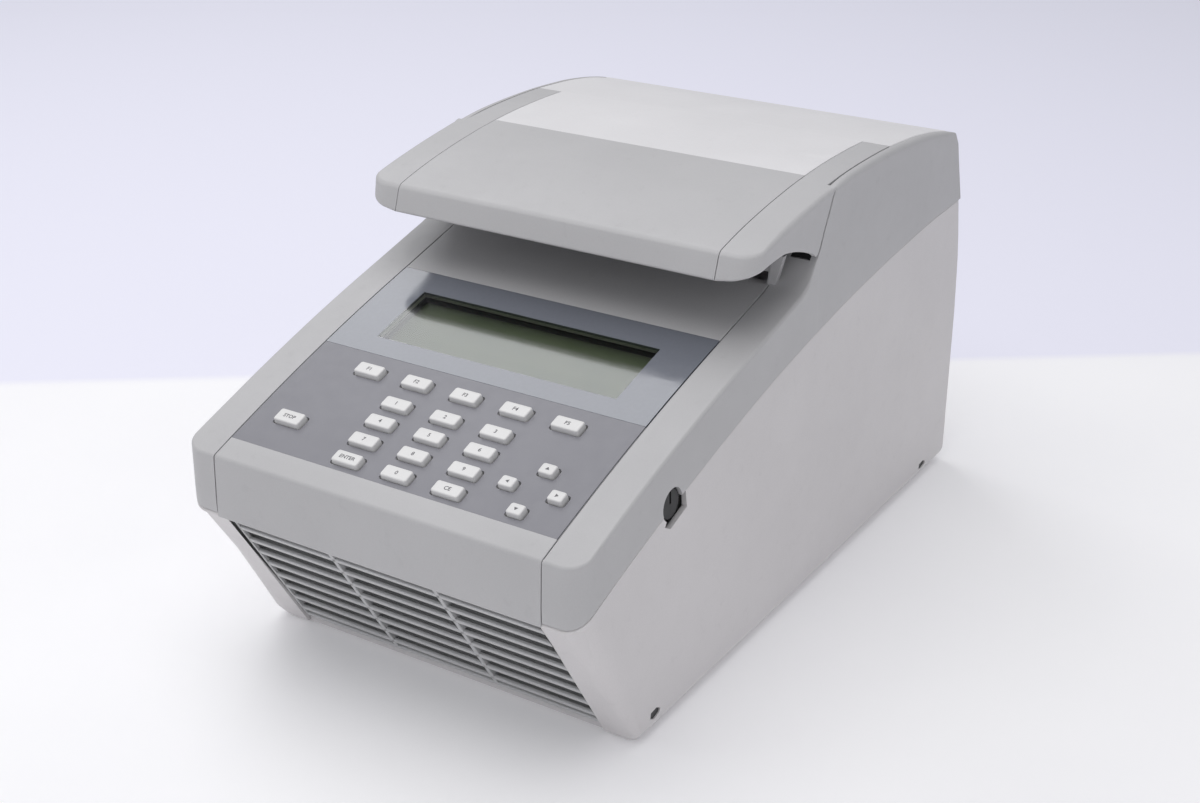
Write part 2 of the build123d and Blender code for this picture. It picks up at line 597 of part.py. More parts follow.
rot = rot + cyl_y(2.0, 0, FY1 - 6.0, FY1 - 0.5, FZ)
keep("fan_rotor", one(rot))
fb = box(-64, 64, FY0 - 6.0, FY0 - 0.1, 121.0, 170.0) - cyl_y(43.5, 0, FY0 - 10, FY0 + 2, FZ)
fb = fb + box(-49, 49, FY0 - 3.0, FY0 - 0.1, FZ - 49, FZ + 49) - cyl_y(43.5, 0, FY0 - 10, FY0 + 2, FZ)
fb = fb + box(-64, -61, FY0 - 6.0, FY0 - 0.1, 9.1, 170) + box(61, 64, FY0 - 6.0, FY0 - 0.1, 9.1, 170)
keep("fan_bracket", one(fb))

# power supply and boards
psu = box(-106, -10, 205, 331, 12.0, 60.0)
psu = fillet(psu.edges().filter_by(Axis.Z), 2.0)
for i in range(9):
    psu = psu - box(-96 + i * 10, -91 + i * 10, 225, 300, 58.8, 61)
keep("power_supply", one(psu))
mb = box(-98, 98, 66, 196, 20.0, 21.6)
for (x, y, w, d, h) in ((-60, 100, 30, 30, 5), (10, 95, 24, 24, 4), (60, 110, 40, 16, 9),
                        (-50, 160, 18, 40, 12), (20, 160, 34, 22, 16), (75, 165, 14, 40, 12),
                        (-85, 130, 12, 50, 9)):
    mb = mb + box(x - w / 2, x + w / 2, y - d / 2, y + d / 2, 21.5, 21.6 + h)
for x, y in MBH:
    mb = mb - cyl_z(1.7, x, y, 10, 30)
keep("main_board", one(mb))
# ---------------------------------------------------------------------------
# 7. hinge: trough with ears, fixed pins
# ---------------------------------------------------------------------------
tr = box(-114.9, 114.9, 370.2, 393.0, 188.0, 189.5)
tr = tr + box(-114.9, 114.9, 370.2, 371.7, 188.0, DECK_Z) + box(-109.0, 109.0, 391.6, 393.1, 188.0, 198.4)
for sx in (-1, 1):
    for xc in (76.0, 104.0):
        x = sx * xc
        ear = box(x - 2, x + 2, 377.5, HINGE_Y + 0.8, 189.0, HINGE_Z) + cyl_x(6.5, x - 2, x + 2, HINGE_Y, HINGE_Z)
        tr = tr + ear
for sx in (-1, 1):                      # riveted hinge pins
    tr = tr + cyl_x(2.5, sx * 73.5, sx * 106.5, HINGE_Y, HINGE_Z)
keep("hinge_trough", one(tr))

# ---------------------------------------------------------------------------
# 8. lid
# ---------------------------------------------------------------------------
LX = SEAM_X - 0.3
FRONT_B = (153.8, 205.6)
lt = LID_TOP
lti = inset(LID_TOP, 2.5)
iG = 9                                         # grey ends at LID_TOP[9]
SPLIT_Y = LID_TOP[iG][0]


def y_window(y0, y1, x0, x1):
    return box(x0, x1, y0, y1, 150, 260)


def lid_skin(x0, x1, y0, y1, d=2.5):
    a = LID_TOP + LID_REAR[1:]
    ai = inset(a, d)
    sk = slab([("S", a), ("L", [a[-1], ai[-1]]), ("S", rev(ai))], x0, x1)
    return sk & y_window(y0, y1, x0 - 1, x1 + 1)


front_out = slab([("L", [(154.9, 203.8), FRONT_B, lt[0]]), ("S", lt[:iG + 1]),
                  ("L", [lt[iG], lti[iG]]), ("S", rev(lti[:iG + 1])),
                  ("L", [lti[0], (156.8, 206.4), (162.0, 206.4), (162.0, 203.8), (154.9, 203.8)])],
                 -LX, LX)
front_out = soften(front_out, lambda e: abs(e.center().X) < 1 and e.length > 190 and
                   abs(e.center().Z - lt[0][1]) < 0.3 and abs(e.center().Y + YC - lt[0][0]) < 0.5, 2.0)
keep("lid_front_cover", one(front_out))

top = lid_skin(-LX, LX, SPLIT_Y + 0.15, 312.1) + lid_skin(-STRIP_X - 0.6, STRIP_X + 0.6, 312.0, 384.0)
HR = 218.4 - HINGE_Z
barrel = (cyl_x(HR, -STRIP_X - 0.6, STRIP_X + 0.6, HINGE_Y, HINGE_Z)
          - cyl_x(HR - 2.3, -200, 200, HINGE_Y, HINGE_Z)) & box(-120, 120, HINGE_Y - 0.2, 400, HINGE_Z - 0.6, 230)
top = top + barrel
# side flanges of the wide part
for sx in (-1, 1):
    x0, x1 = sorted((sx * (STRIP_X + 0.6), sx * (STRIP_X - 1.7)))
    fl = slab([("L", [(312.3, 203.0)]), ("L", [(312.3, 203.0), (312.3, 229.0)]),
               ("S", [(312.3, 229.0), (330, 227.6), (343, 226.2), (356, 224.2), (370, 221.5), (381, 218.2)]),
               ("L", [(381, 218.2), (374, 203.0), (312.3, 203.0)])][1:], x0, x1)
    top = top + fl
keep("lid_top_cover", one(top))


def lid_strip():
    # roof part between the lips
    a = lid_skin(SEAM_X, STRIP_X, 238.8, 311.8)
    fl = slab([("L", [(238.5, 204.0), (238.5, 228.5)]),
               ("S", [(238.5, 228.5), (263, 229.8), (280, 229.9), (311.8, 228.8)]),
               ("L", [(311.8, 228.8), (311.8, 204.0), (238.5, 204.0)])], STRIP_X - 2.2, STRIP_X)
    # side part with the skirt, flush with the bands
    seam = [(y - 1.0, z + 0.4) for y, z in LID_SEAM]
    iS = 8
    out = slab([("L", [FRONT_B, lt[0]]), ("S", lt[:iS + 1]),
                ("L", [lt[iS], seam[-1]]), ("S", rev(seam)),
                ("S", [seam[0], (217, 200.7), (207, 204.8), (197, 207.6), (188, 208.9),
                       (176, 209.0), (166, 207.8), (158, 206.0)]),
                ("L", [(158, 206.0), FRONT_B])], SEAM_X, HW)
    li = inset(lt[:iS + 1], 2.5)
    cav = slab([("L", [(156.9, 190.0), (160.6, 214.9), li[1]]), ("S", li[1:]),
                ("L", [li[-1], (243, 226.5), (243, 190.0), (156.9, 190)])], SEAM_X - 2, HW - 2.8)
    s = out - cav
    s = s - corner_cutter(FRONT_B, lt[0], HW, LID_R, (unit(FRONT_B, lt[0])[1], -unit(FRONT_B, lt[0])[0]))
    s = one(s)
    # inner rounding wall of the front corner
    cw = corner_wall()
    s = s + cw
    s = s + a + fl
    return one(s)


def corner_wall():
    """Wall behind the rounded front corner of the lid, 2.5 thick."""
    d = unit(FRONT_B, lt[0])
    inn = (d[1], -d[0])
    base = pt(HW, *FRONT_B)
    dv = Vector(0, d[0], d[1])
    iv = Vector(0, inn[0], inn[1])
    sv = Vector(-1, 0, 0)
    c = base + sv * LID_R + iv * LID_R
    ro, ri = LID_R, LID_R - 2.6
    h = hypot(lt[0][0] - FRONT_B[0], lt[0][1] - FRONT_B[1])
    st = dv * 0.8
    k = (sv + iv).normalized() * -1
    w = Wire([Edge.make_three_point_arc(c - sv * ro + st, c + k * ro + st, c - iv * ro + st),
              Edge.make_line(c - iv * ro + st, c - iv * ri + st),
              Edge.make_three_point_arc(c - iv * ri + st, c + k * ri + st, c - sv * ri + st),
              Edge.make_line(c - sv * ri + st, c - sv * ro + st)])
    return Solid.extrude(Face(w), dv * (h - 0.8))


strip_r = lid_strip()
strip_r = soften(strip_r, lambda e: (e.center().X > HW - 0.01 and e.length > 40 and
                 e.center().Z > 219), 5.0)
keep("lid_strip_right", strip_r)
keep("lid_strip_left", flip(strip_r))

# liner: underside pan with the pocket for the heated plate
PLW, PLD = 122.0, 86.0
LIN_Z = 201.2
lin = slab([("L", [(162.4, 209.4), (200.0, 209.4), (226.0, LIN_Z), (379.5, LIN_Z), (379.5, LIN_Z + 2.2),
                   (226.4, LIN_Z + 2.2), (200.4, 211.6), (162.4, 211.6)])], -111.8, 111.8)
lin = lin - box(-PLW / 2 + 1.2, PLW / 2 - 1.2, BLOCK_Y - PLD / 2 + 1.2, BLOCK_Y + PLD / 2 - 1.2, 190, 215)
lin = lin + (box(-PLW / 2 - 4, PLW / 2 + 4, BLOCK_Y - PLD / 2 - 4, BLOCK_Y + PLD / 2 + 4, LIN_Z, 219.5)
             - box(-PLW / 2 - 2, PLW / 2 + 2, BLOCK_Y - PLD / 2 - 2, BLOCK_Y + PLD / 2 + 2, LIN_Z + 2.2, 217.5)
             - box(-PLW / 2 + 1.2, PLW / 2 - 1.2, BLOCK_Y - PLD / 2 + 1.2, BLOCK_Y + PLD / 2 - 1.2, 190, 215))
lin = lin + box(-111.8, 111.8, 162.4, 164.2, 204.2, 211.6)
# notches round the ears of the trough
for x in (-104, -76, 76, 104):
    lin = lin - box(x - 2.6, x + 2.6, 376.8, 382, 199, 206)
# hinge arms: two leaves outboard of each inner ear
for sx in (-1, 1):
    for xc in (82.0, 97.5):
        x = sx * xc
        lin = lin + box(x - 2.5, x + 2.5, 366.0, HINGE_Y, LIN_Z + 1.0, HINGE_Z + 3) \
            + cyl_x(5.8, x - 2.5, x + 2.5, HINGE_Y, HINGE_Z)
lin = lin - cyl_x(2.56, -120, 120, HINGE_Y, HINGE_Z)
# catch moulded on the liner; it drops through the slot in the deck
lin = lin + box(-6, 6, 219.6, 222.2, 187.0, 204.5) + box(-6, 6, 218.4, 219.7, 188.2, 191.0)
keep("lid_liner", one(lin))

# heated plate with its rim, and the springs that press it down
PZ0 = 199.2
pl = box(-PLW / 2 + 2, PLW / 2 - 2, BLOCK_Y - PLD / 2 + 2, BLOCK_Y + PLD / 2 - 2, PZ0, PZ0 + 5.0)
pl = chamfer(pl.faces().sort_by(Axis.Z)[0].edges(), 0.8)
pl = pl + box(-PLW / 2, PLW / 2, BLOCK_Y - PLD / 2, BLOCK_Y + PLD / 2, LIN_Z + 2.45, PZ0 + 6.5)
SPR = [(sx * 46.0, BLOCK_Y + sy * 30.0) for sx in (-1, 1) for sy in (-1, 1)]
for x, y in SPR:
    pl = pl + cyl_z(2.4, x, y, PZ0 + 6.0, PZ0 + 11.0)
keep("heated_plate", one(pl))
sp = None
TURNS, SR, WR = 4, 4.6, 0.55
Z0, Z1 = PZ0 + 6.5 + WR + 0.02, 217.5 - WR - 0.02
for x, y in SPR:
    hx = Helix(pitch=(Z1 - Z0) / TURNS, height=(Z1 - Z0), radius=SR)
    prof = Plane(origin=hx @ 0, z_dir=hx % 0) * Circle(WR)
    q = sweep(prof, path=hx)
    q = Pos(x, y - YC, Z0) * q
    sp = [q] if sp is None else sp + [q]
keep("plate_springs", Compound(children=[s.solids()[0] for s in sp]))

# ---------------------------------------------------------------------------
for name, shape in NODES.items():
    export_step(shape, os.path.join("parts", name + ".step"))
print(len(NODES), "nodes")
tot = Compound(children=[s for n in NODES.values() for s in n.solids()])
bb = tot.bounding_box()
print("box", bb.min, bb.max)
for name, shape in NODES.items():
    b = shape.bounding_box()
    print(f"{name:20s} n={len(shape.solids()):2d} vol={shape.volume/1000:8.2f} valid={shape.is_valid} "
          f"x {b.min.X:7.1f} {b.max.X:7.1f} y {b.min.Y+YC:7.1f} {b.max.Y+YC:7.1f} z {b.min.Z:7.1f} {b.max.Z:7.1f}")
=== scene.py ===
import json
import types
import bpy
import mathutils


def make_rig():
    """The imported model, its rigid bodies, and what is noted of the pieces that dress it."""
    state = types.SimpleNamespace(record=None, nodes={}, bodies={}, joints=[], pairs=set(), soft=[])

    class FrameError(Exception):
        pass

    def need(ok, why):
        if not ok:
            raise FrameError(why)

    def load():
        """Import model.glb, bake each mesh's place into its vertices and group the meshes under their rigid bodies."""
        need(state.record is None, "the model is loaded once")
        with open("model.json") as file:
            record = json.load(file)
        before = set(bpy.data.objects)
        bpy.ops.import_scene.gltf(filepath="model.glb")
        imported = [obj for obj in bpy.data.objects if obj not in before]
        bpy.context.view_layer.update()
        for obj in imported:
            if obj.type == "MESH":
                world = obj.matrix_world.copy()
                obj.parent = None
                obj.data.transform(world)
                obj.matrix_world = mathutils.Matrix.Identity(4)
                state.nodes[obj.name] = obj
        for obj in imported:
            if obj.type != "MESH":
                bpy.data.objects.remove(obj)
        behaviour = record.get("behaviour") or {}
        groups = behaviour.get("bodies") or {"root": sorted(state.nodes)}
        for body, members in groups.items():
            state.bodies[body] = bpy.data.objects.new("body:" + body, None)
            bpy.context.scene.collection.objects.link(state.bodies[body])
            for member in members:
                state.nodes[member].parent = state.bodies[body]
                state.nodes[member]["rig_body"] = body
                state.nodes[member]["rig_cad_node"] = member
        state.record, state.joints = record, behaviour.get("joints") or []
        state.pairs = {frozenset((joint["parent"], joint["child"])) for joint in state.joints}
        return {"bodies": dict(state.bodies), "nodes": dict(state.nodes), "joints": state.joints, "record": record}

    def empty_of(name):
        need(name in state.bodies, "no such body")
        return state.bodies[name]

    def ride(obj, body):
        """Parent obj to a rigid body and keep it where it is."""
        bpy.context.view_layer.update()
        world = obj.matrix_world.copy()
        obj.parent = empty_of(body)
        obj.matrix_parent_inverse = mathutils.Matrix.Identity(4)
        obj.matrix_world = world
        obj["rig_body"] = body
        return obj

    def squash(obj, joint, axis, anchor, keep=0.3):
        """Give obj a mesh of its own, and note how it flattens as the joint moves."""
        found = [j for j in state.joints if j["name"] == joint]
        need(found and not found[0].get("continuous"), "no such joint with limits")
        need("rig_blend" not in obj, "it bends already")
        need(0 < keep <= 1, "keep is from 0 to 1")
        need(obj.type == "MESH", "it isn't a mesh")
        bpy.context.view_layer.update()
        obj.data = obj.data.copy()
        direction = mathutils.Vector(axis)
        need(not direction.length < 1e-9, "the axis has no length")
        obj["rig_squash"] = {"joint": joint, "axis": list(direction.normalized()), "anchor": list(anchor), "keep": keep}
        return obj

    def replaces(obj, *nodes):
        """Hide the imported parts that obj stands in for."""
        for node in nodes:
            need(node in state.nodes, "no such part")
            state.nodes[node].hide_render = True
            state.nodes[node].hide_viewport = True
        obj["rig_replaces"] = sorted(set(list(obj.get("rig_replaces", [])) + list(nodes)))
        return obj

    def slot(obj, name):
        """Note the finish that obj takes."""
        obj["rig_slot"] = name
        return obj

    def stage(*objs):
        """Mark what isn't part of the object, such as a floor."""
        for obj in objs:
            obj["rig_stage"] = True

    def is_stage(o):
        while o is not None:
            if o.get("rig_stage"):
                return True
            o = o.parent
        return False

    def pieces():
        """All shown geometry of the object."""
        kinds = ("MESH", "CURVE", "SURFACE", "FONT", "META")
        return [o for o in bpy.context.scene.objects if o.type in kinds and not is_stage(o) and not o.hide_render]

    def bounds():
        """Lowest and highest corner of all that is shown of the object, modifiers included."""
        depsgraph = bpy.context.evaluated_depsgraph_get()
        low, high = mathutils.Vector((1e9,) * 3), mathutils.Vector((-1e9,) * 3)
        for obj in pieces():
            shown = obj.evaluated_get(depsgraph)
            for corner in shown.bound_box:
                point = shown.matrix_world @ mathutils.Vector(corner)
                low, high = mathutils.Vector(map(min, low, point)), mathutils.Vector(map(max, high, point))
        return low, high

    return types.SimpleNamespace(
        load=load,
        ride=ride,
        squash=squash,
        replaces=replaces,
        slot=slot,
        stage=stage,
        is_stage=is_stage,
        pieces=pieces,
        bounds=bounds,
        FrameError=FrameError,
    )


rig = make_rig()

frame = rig.load()

import bpy
import bmesh
import json
import math
import numpy as np
from mathutils import Vector, Matrix

CAD_BOX = [[float(v) for v in c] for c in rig.bounds()]
NODES = frame["nodes"]
YC = 204.0               # profile ordinate at the middle of the instrument, mm


# ---------------------------------------------------------------------------
# profiles of the shells, (y from the nose, z from the bench), mm
# ---------------------------------------------------------------------------
HW = 120.0
SEAM = 98.9
FLANK_X = 95.7
SLOPE = [(3.0, 123.6), (16, 128.3), (30, 133.1), (46, 138.5), (63, 144.0),
         (81, 149.5), (96, 153.9), (111, 158.1), (125, 161.8), (138, 165.1),
         (152, 168.5), (169, 172.6), (187, 177.0), (198, 179.8), (208, 182.4)]
CHEEK = [(3.0, 123.6), (16, 128.3), (30, 133.1), (46, 138.5), (63, 144.0),
         (81, 149.5), (96, 153.9), (111, 158.1), (125, 161.8), (138, 165.1),
         (152, 168.5), (169, 172.6), (187, 177.0), (198, 179.6), (204.5, 181.3),
         (209.5, 183.4), (212.6, 185.6), (215, 188.2), (217, 191.2),
         (219, 194.2), (221.5, 197.2)]
LID_SEAM = [(221.5, 197.2), (224.4, 201.6), (229.0, 210.6), (233.2, 217.4),
            (236.4, 223.6), (240.6, 229.2)]
LIP_TOP = [(240.6, 229.2), (248, 230.1), (262, 230.9), (280, 231.0),
           (303, 230.4), (317, 229.5), (330, 228.3), (343, 226.9),
           (356, 224.9), (370, 222.2), (382, 219.2), (390.5, 216.6)]
REAR = [(390.5, 216.6), (394.4, 210.0), (396.6, 200.0), (402.6, 175.0)]
BOUND = [(0.6, 91.6), (2.6, 92.4), (8.0, 95.8), (17.3, 100.0), (34, 106.1),
         (51, 111.9), (105, 128.0), (173, 145.7), (215, 154.2), (260.5, 161.7),
         (321.5, 168.7), (361, 171.9), (402.9, 173.3)]
LID_TOP = [(158.3, 217.5), (168, 219.9), (178, 222.0), (188, 223.8),
           (198.6, 225.4), (208, 226.7), (219.5, 228.0), (229, 229.0),
           (239.6, 229.8), (246, 230.2), (263, 230.9), (280, 231.0),
           (296, 230.7), (312, 229.9)]
LID_REAR = [(312, 229.9), (330, 228.3), (343, 226.9), (356, 224.9),
            (370, 222.2), (384.0, 218.4)]
FRONT_B = (153.8, 205.6)
GA, GB = (4.6, 88.0), (51.2, 5.4)


def dense(pts, step=3.0):
    """Natural cubic through the points, sampled about every step mm."""
    p = np.array(pts, float)
    if len(p) < 3:
        n = max(1, int(round(math.hypot(*(p[1] - p[0])) / step)))
        return [tuple(p[0] + (p[1] - p[0]) * k / n) for k in range(n + 1)]
    h = np.hypot(*(p[1:] - p[:-1]).T)
    t = np.concatenate([[0], np.cumsum(h)])
    n = len(p)
    A = np.zeros((n, n))
    B = np.zeros((n, 2))
    A[0, 0] = A[-1, -1] = 1
    for i in range(1, n - 1):
        A[i, i - 1] = h[i - 1]
        A[i, i] = 2 * (h[i - 1] + h[i])
        A[i, i + 1] = h[i]
        B[i] = 6 * ((p[i + 1] - p[i]) / h[i] - (p[i] - p[i - 1]) / h[i - 1])
    m = np.linalg.solve(A, B)
    out = []
    for i in range(n - 1):
        k = max(1, int(round(h[i] / step)))
        for j in range(k):
            s = h[i] * j / k
            r = h[i] - s
            q = (m[i] * r ** 3 + m[i + 1] * s ** 3) / (6 * h[i]) \
                + (p[i] / h[i] - m[i] * h[i] / 6) * r + (p[i + 1] / h[i] - m[i + 1] * h[i] / 6) * s
            out.append((float(q[0]), float(q[1])))
    out.append((float(p[-1][0]), float(p[-1][1])))
    return out


def zof(pts):
    a = np.array(pts)
    order = np.argsort(a[:, 0], kind="stable")
    ys, zs = a[order, 0], a[order, 1]
    return lambda y: float(np.interp(y, ys, zs))


def fillet_poly(pts, r, limit=12.0):
    """Open polyline with an arc at each corner that turns more than limit."""
    out = [pts[0]]
    for a, b, c in zip(pts, pts[1:], pts[2:]):
        u = np.array(b) - np.array(a)
        v = np.array(c) - np.array(b)
        lu, lv = np.hypot(*u), np.hypot(*v)
        u, v = u / lu, v / lv
        turn = math.acos(max(-1, min(1, float(u @ v))))
        if math.degrees(turn) < limit:
            out.append(b)
            continue
        d = min(r * math.tan(turn / 2), 0.45 * lu, 0.45 * lv)
        rr = d / math.tan(turn / 2)
        s = np.array(b) - u * d
        n = np.array([-u[1], u[0]])
        if float(n @ v) < 0:
            n = -n
        cc = s + n * rr
        k = max(3, int(math.degrees(turn) / 7))
        for i in range(k + 1):
            t = turn * i / k
            q = cc - n * rr * math.cos(t) + u * rr * math.sin(t)
            out.append((float(q[0]), float(q[1])))
    out.append(pts[-1])
    return out


def offset(pts, d, closed=False):
    """Shift a polyline by d to its right-hand side."""
    n = len(pts)
    out = []
    for i, p in enumerate(pts):
        a = pts[i - 1] if (i or closed) else pts[0]
        b = pts[(i + 1) % n] if (i < n - 1 or closed) else pts[-1]
        t1 = np.array(p) - np.array(a)
        t2 = np.array(b) - np.array(p)
        l1, l2 = np.hypot(*t1), np.hypot(*t2)
        t1 = t1 / l1 if l1 > 1e-9 else t2 / l2
        t2 = t2 / l2 if l2 > 1e-9 else t1
        t = t1 + t2
        t = t / np.hypot(*t)
        k = 1 / max(0.5, float(t @ t1))
        out.append((float(p[0] + d * k * t[1]), float(p[1] - d * k * t[0])))
    return out


# ---------------------------------------------------------------------------
# mesh helpers; pieces are worked out in mm and stored in metres
# ---------------------------------------------------------------------------
def to_m(v):
    return (v[0] * 0.001, (v[1] - YC) * 0.001, v[2] * 0.001)


def finish_mesh(name, bm, mats, body, angle=35.0, weighted=True):
    bmesh.ops.remove_doubles(bm, verts=bm.verts, dist=2e-6)
    bmesh.ops.recalc_face_normals(bm, faces=bm.faces)
    me = bpy.data.meshes.new(name)
    bm.to_mesh(me)
    bm.free()
    ob = bpy.data.objects.new(name, me)
    bpy.context.collection.objects.link(ob)
    for m in mats:
        me.materials.append(m)
    me.shade_smooth()
    me.set_sharp_from_angle(angle=math.radians(angle))
    if weighted:
        w = ob.modifiers.new("normals", "WEIGHTED_NORMAL")
        w.keep_sharp = True
        w.weight = 60
    if body:
        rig.ride(ob, body)
    return ob


def add_rings(bm, rings, caps=True, closed=True, loop=False, mat=0):
    """Closed rings of equal length joined into a tube, in mm."""
    vs = [[bm.verts.new(to_m(p)) for p in r] for r in rings]
    m = len(rings[0])
    pairs = list(zip(vs, vs[1:]))
    if loop:
        pairs.append((vs[-1], vs[0]))
    for a, b in pairs:
        for j in range(m if closed else m - 1):
            k = (j + 1) % m
            try:
                f = bm.faces.new((a[j], a[k], b[k], b[j]))
                f.material_index = mat
            except ValueError:
                pass
    if caps and not loop:
        for r in (vs[0], vs[-1]):
            try:
                f = bm.faces.new(r)
                f.material_index = mat
            except ValueError:
                pass
    return vs


def flip_rings(rings):
    return [[(-p[0], p[1], p[2]) for p in r] for r in rings]


def sweep_x(bm, prof, x0, x1, edge=0.4, n=1, mat=0):
    """Closed (y, z) profile swept along x with a small rounded edge at both
    ends.  The profile runs clockwise as seen from +x."""
    rings = []
    ins = lambda d: offset(prof, d, closed=True)
    steps = [(edge * (1 - math.cos(a)), edge * (1 - math.sin(a))) for a in
             (0.0, math.pi / 6, math.pi / 3, math.pi / 2)] if edge > 0 else [(0.0, 0.0)]
    for dx, dn in steps:
        rings.append([(x0 + dx, p[0], p[1]) for p in (ins(dn) if dn > 1e-6 else prof)])
    for k in range(1, n):
        x = x0 + edge + (x1 - x0 - 2 * edge) * k / n
        rings.append([(x, p[0], p[1]) for p in prof])
    for dx, dn in reversed(steps):
        rings.append([(x1 - dx, p[0], p[1]) for p in (ins(dn) if dn > 1e-6 else prof)])
    return add_rings(bm, rings, mat=mat)


def clockwise(prof):
    a = 0.0
    for p, q in zip(prof, prof[1:] + prof[:1]):
        a += p[0] * q[1] - q[0] * p[1]
    return prof if a < 0 else list(reversed(prof))


def shell_ring(p, n, zbf, ztf, rt, rb, seam=None, th=2.6, nw=4, K=6, low=3.2,
               se=0.35, zlow=None, rows=None):
    """One closed section of a moulded side shell: up the outside, over a
    rounded edge, along the top to the seam, and back inside."""
    z = 120.0
    for _ in range(6):
        z = ztf(p(z)[1])
    zt = z
    z = zt - 20
    zb = zbf(p(zt)[1])
    for _ in range(6):
        zb = zbf(p(zb)[1])
    hgt = zt - zb
    rt = min(rt, 0.42 * hgt)
    rb = min(rb, 0.42 * hgt)
    out = []

    def at(d, zz):
        x, y = p(zz)
        return (x - n[0] * d, y - n[1] * d, zz)
    out.append(at(max(th, rb + 0.4), zb))
    for a in (90, 68, 45, 22, 0):
        t = math.radians(a)
        out.append(at(rb * (1 - math.cos(t)), zb + rb * (1 - math.sin(t))))
    if rows:
        for zz in rows(zb, zt):
            out.append(at(0, zz))
    else:
        for k in range(1, nw):
            out.append(at(0, zb + rb + (hgt - rt - rb) * k / nw))
    q = None
    for a in (0, 15, 30, 45, 60, 75, 90):
        t = math.radians(a)
        d = rt * (1 - math.cos(t))
        drop = rt * (1 - math.sin(t))
        x, y = p(zt - drop)
        xx, yy = x - n[0] * d, y - n[1] * d
        zz = zt - drop
        if abs(n[1]) > 0.01:
            zz += (ztf(yy) - zt) * math.sin(t) ** 2
        q = (xx, yy)
        out.append((xx, yy, zz))
    if seam is None:
        x, y = p(zt)
        seam = (x - n[0] * th, y - n[1] * th)
    sx, sy = seam
    v = np.array([sx - q[0], sy - q[1]])
    L = float(np.hypot(*v))
    e = min(se, 0.3 * L)
    for k in range(1, K + 1):
        f = (L - e) / max(L, 1e-9) * k / K
        xx, yy = q[0] + v[0] * f, q[1] + v[1] * f
        out.append((xx, yy, ztf(yy)))
    f = (L - 0.3 * e) / max(L, 1e-9)
    xx, yy = q[0] + v[0] * f, q[1] + v[1] * f
    out.append((xx, yy, ztf(yy) - 0.3 * se))
    out.append((sx, sy, ztf(sy) - se))
    zl = ztf(sy) - low if zlow is None else zlow
    out.append((sx, sy, zl))
    x, y = p(zt)
    xi, yi = x - n[0] * max(th, rt + 0.6), y - n[1] * max(th, rt + 0.6)
    z_in = min(ztf(yi), zt) - low if zlow is None else zlow
    z_in = max(z_in, zb + 0.5)
    out.append(((sx + xi) / 2, (sy + yi) / 2, (zl + z_in) / 2))
    out.append((xi, yi, z_in))
    return out


# ---------------------------------------------------------------------------
# materials: most have their own grain, colour drift, edge wear and bump
# ---------------------------------------------------------------------------
def new_mat(name):
    m = bpy.data.materials.new(name)
    m.use_nodes = True
    nt = m.node_tree
    for n in list(nt.nodes):
        nt.nodes.remove(n)
    out = nt.nodes.new("ShaderNodeOutputMaterial")
    b = nt.nodes.new("ShaderNodeBsdfPrincipled")
    nt.links.new(b.outputs[0], out.inputs[0])
    return m, nt, b


def noise(nt, vec, scale, detail=2.0, rough=0.5):
    n = nt.nodes.new("ShaderNodeTexNoise")
    n.inputs["Scale"].default_value = scale
    n.inputs["Detail"].default_value = detail
    n.inputs["Roughness"].default_value = rough
    nt.links.new(vec, n.inputs["Vector"])
    return n.outputs["Fac"]


def ramp(nt, fac, lo, hi, a, b):
    n = nt.nodes.new("ShaderNodeMapRange")
    n.inputs["From Min"].default_value = lo
    n.inputs["From Max"].default_value = hi
    n.inputs["To Min"].default_value = a
    n.inputs["To Max"].default_value = b
    n.clamp = True
    nt.links.new(fac, n.inputs["Value"])
    return n.outputs["Result"]


def mixc(nt, fac, a, b, mode="MIX"):
    n = nt.nodes.new("ShaderNodeMix")
    n.data_type = "RGBA"
    n.blend_type = mode
    for s, v in ((6, a), (7, b)):
        if isinstance(v, (tuple, list)):
            n.inputs[s].default_value = (*v[:3], 1)
        else:
            nt.links.new(v, n.inputs[s])
    if isinstance(fac, (int, float)):
        n.inputs[0].default_value = fac
    else:
        nt.links.new(fac, n.inputs[0])
    return n.outputs[2]


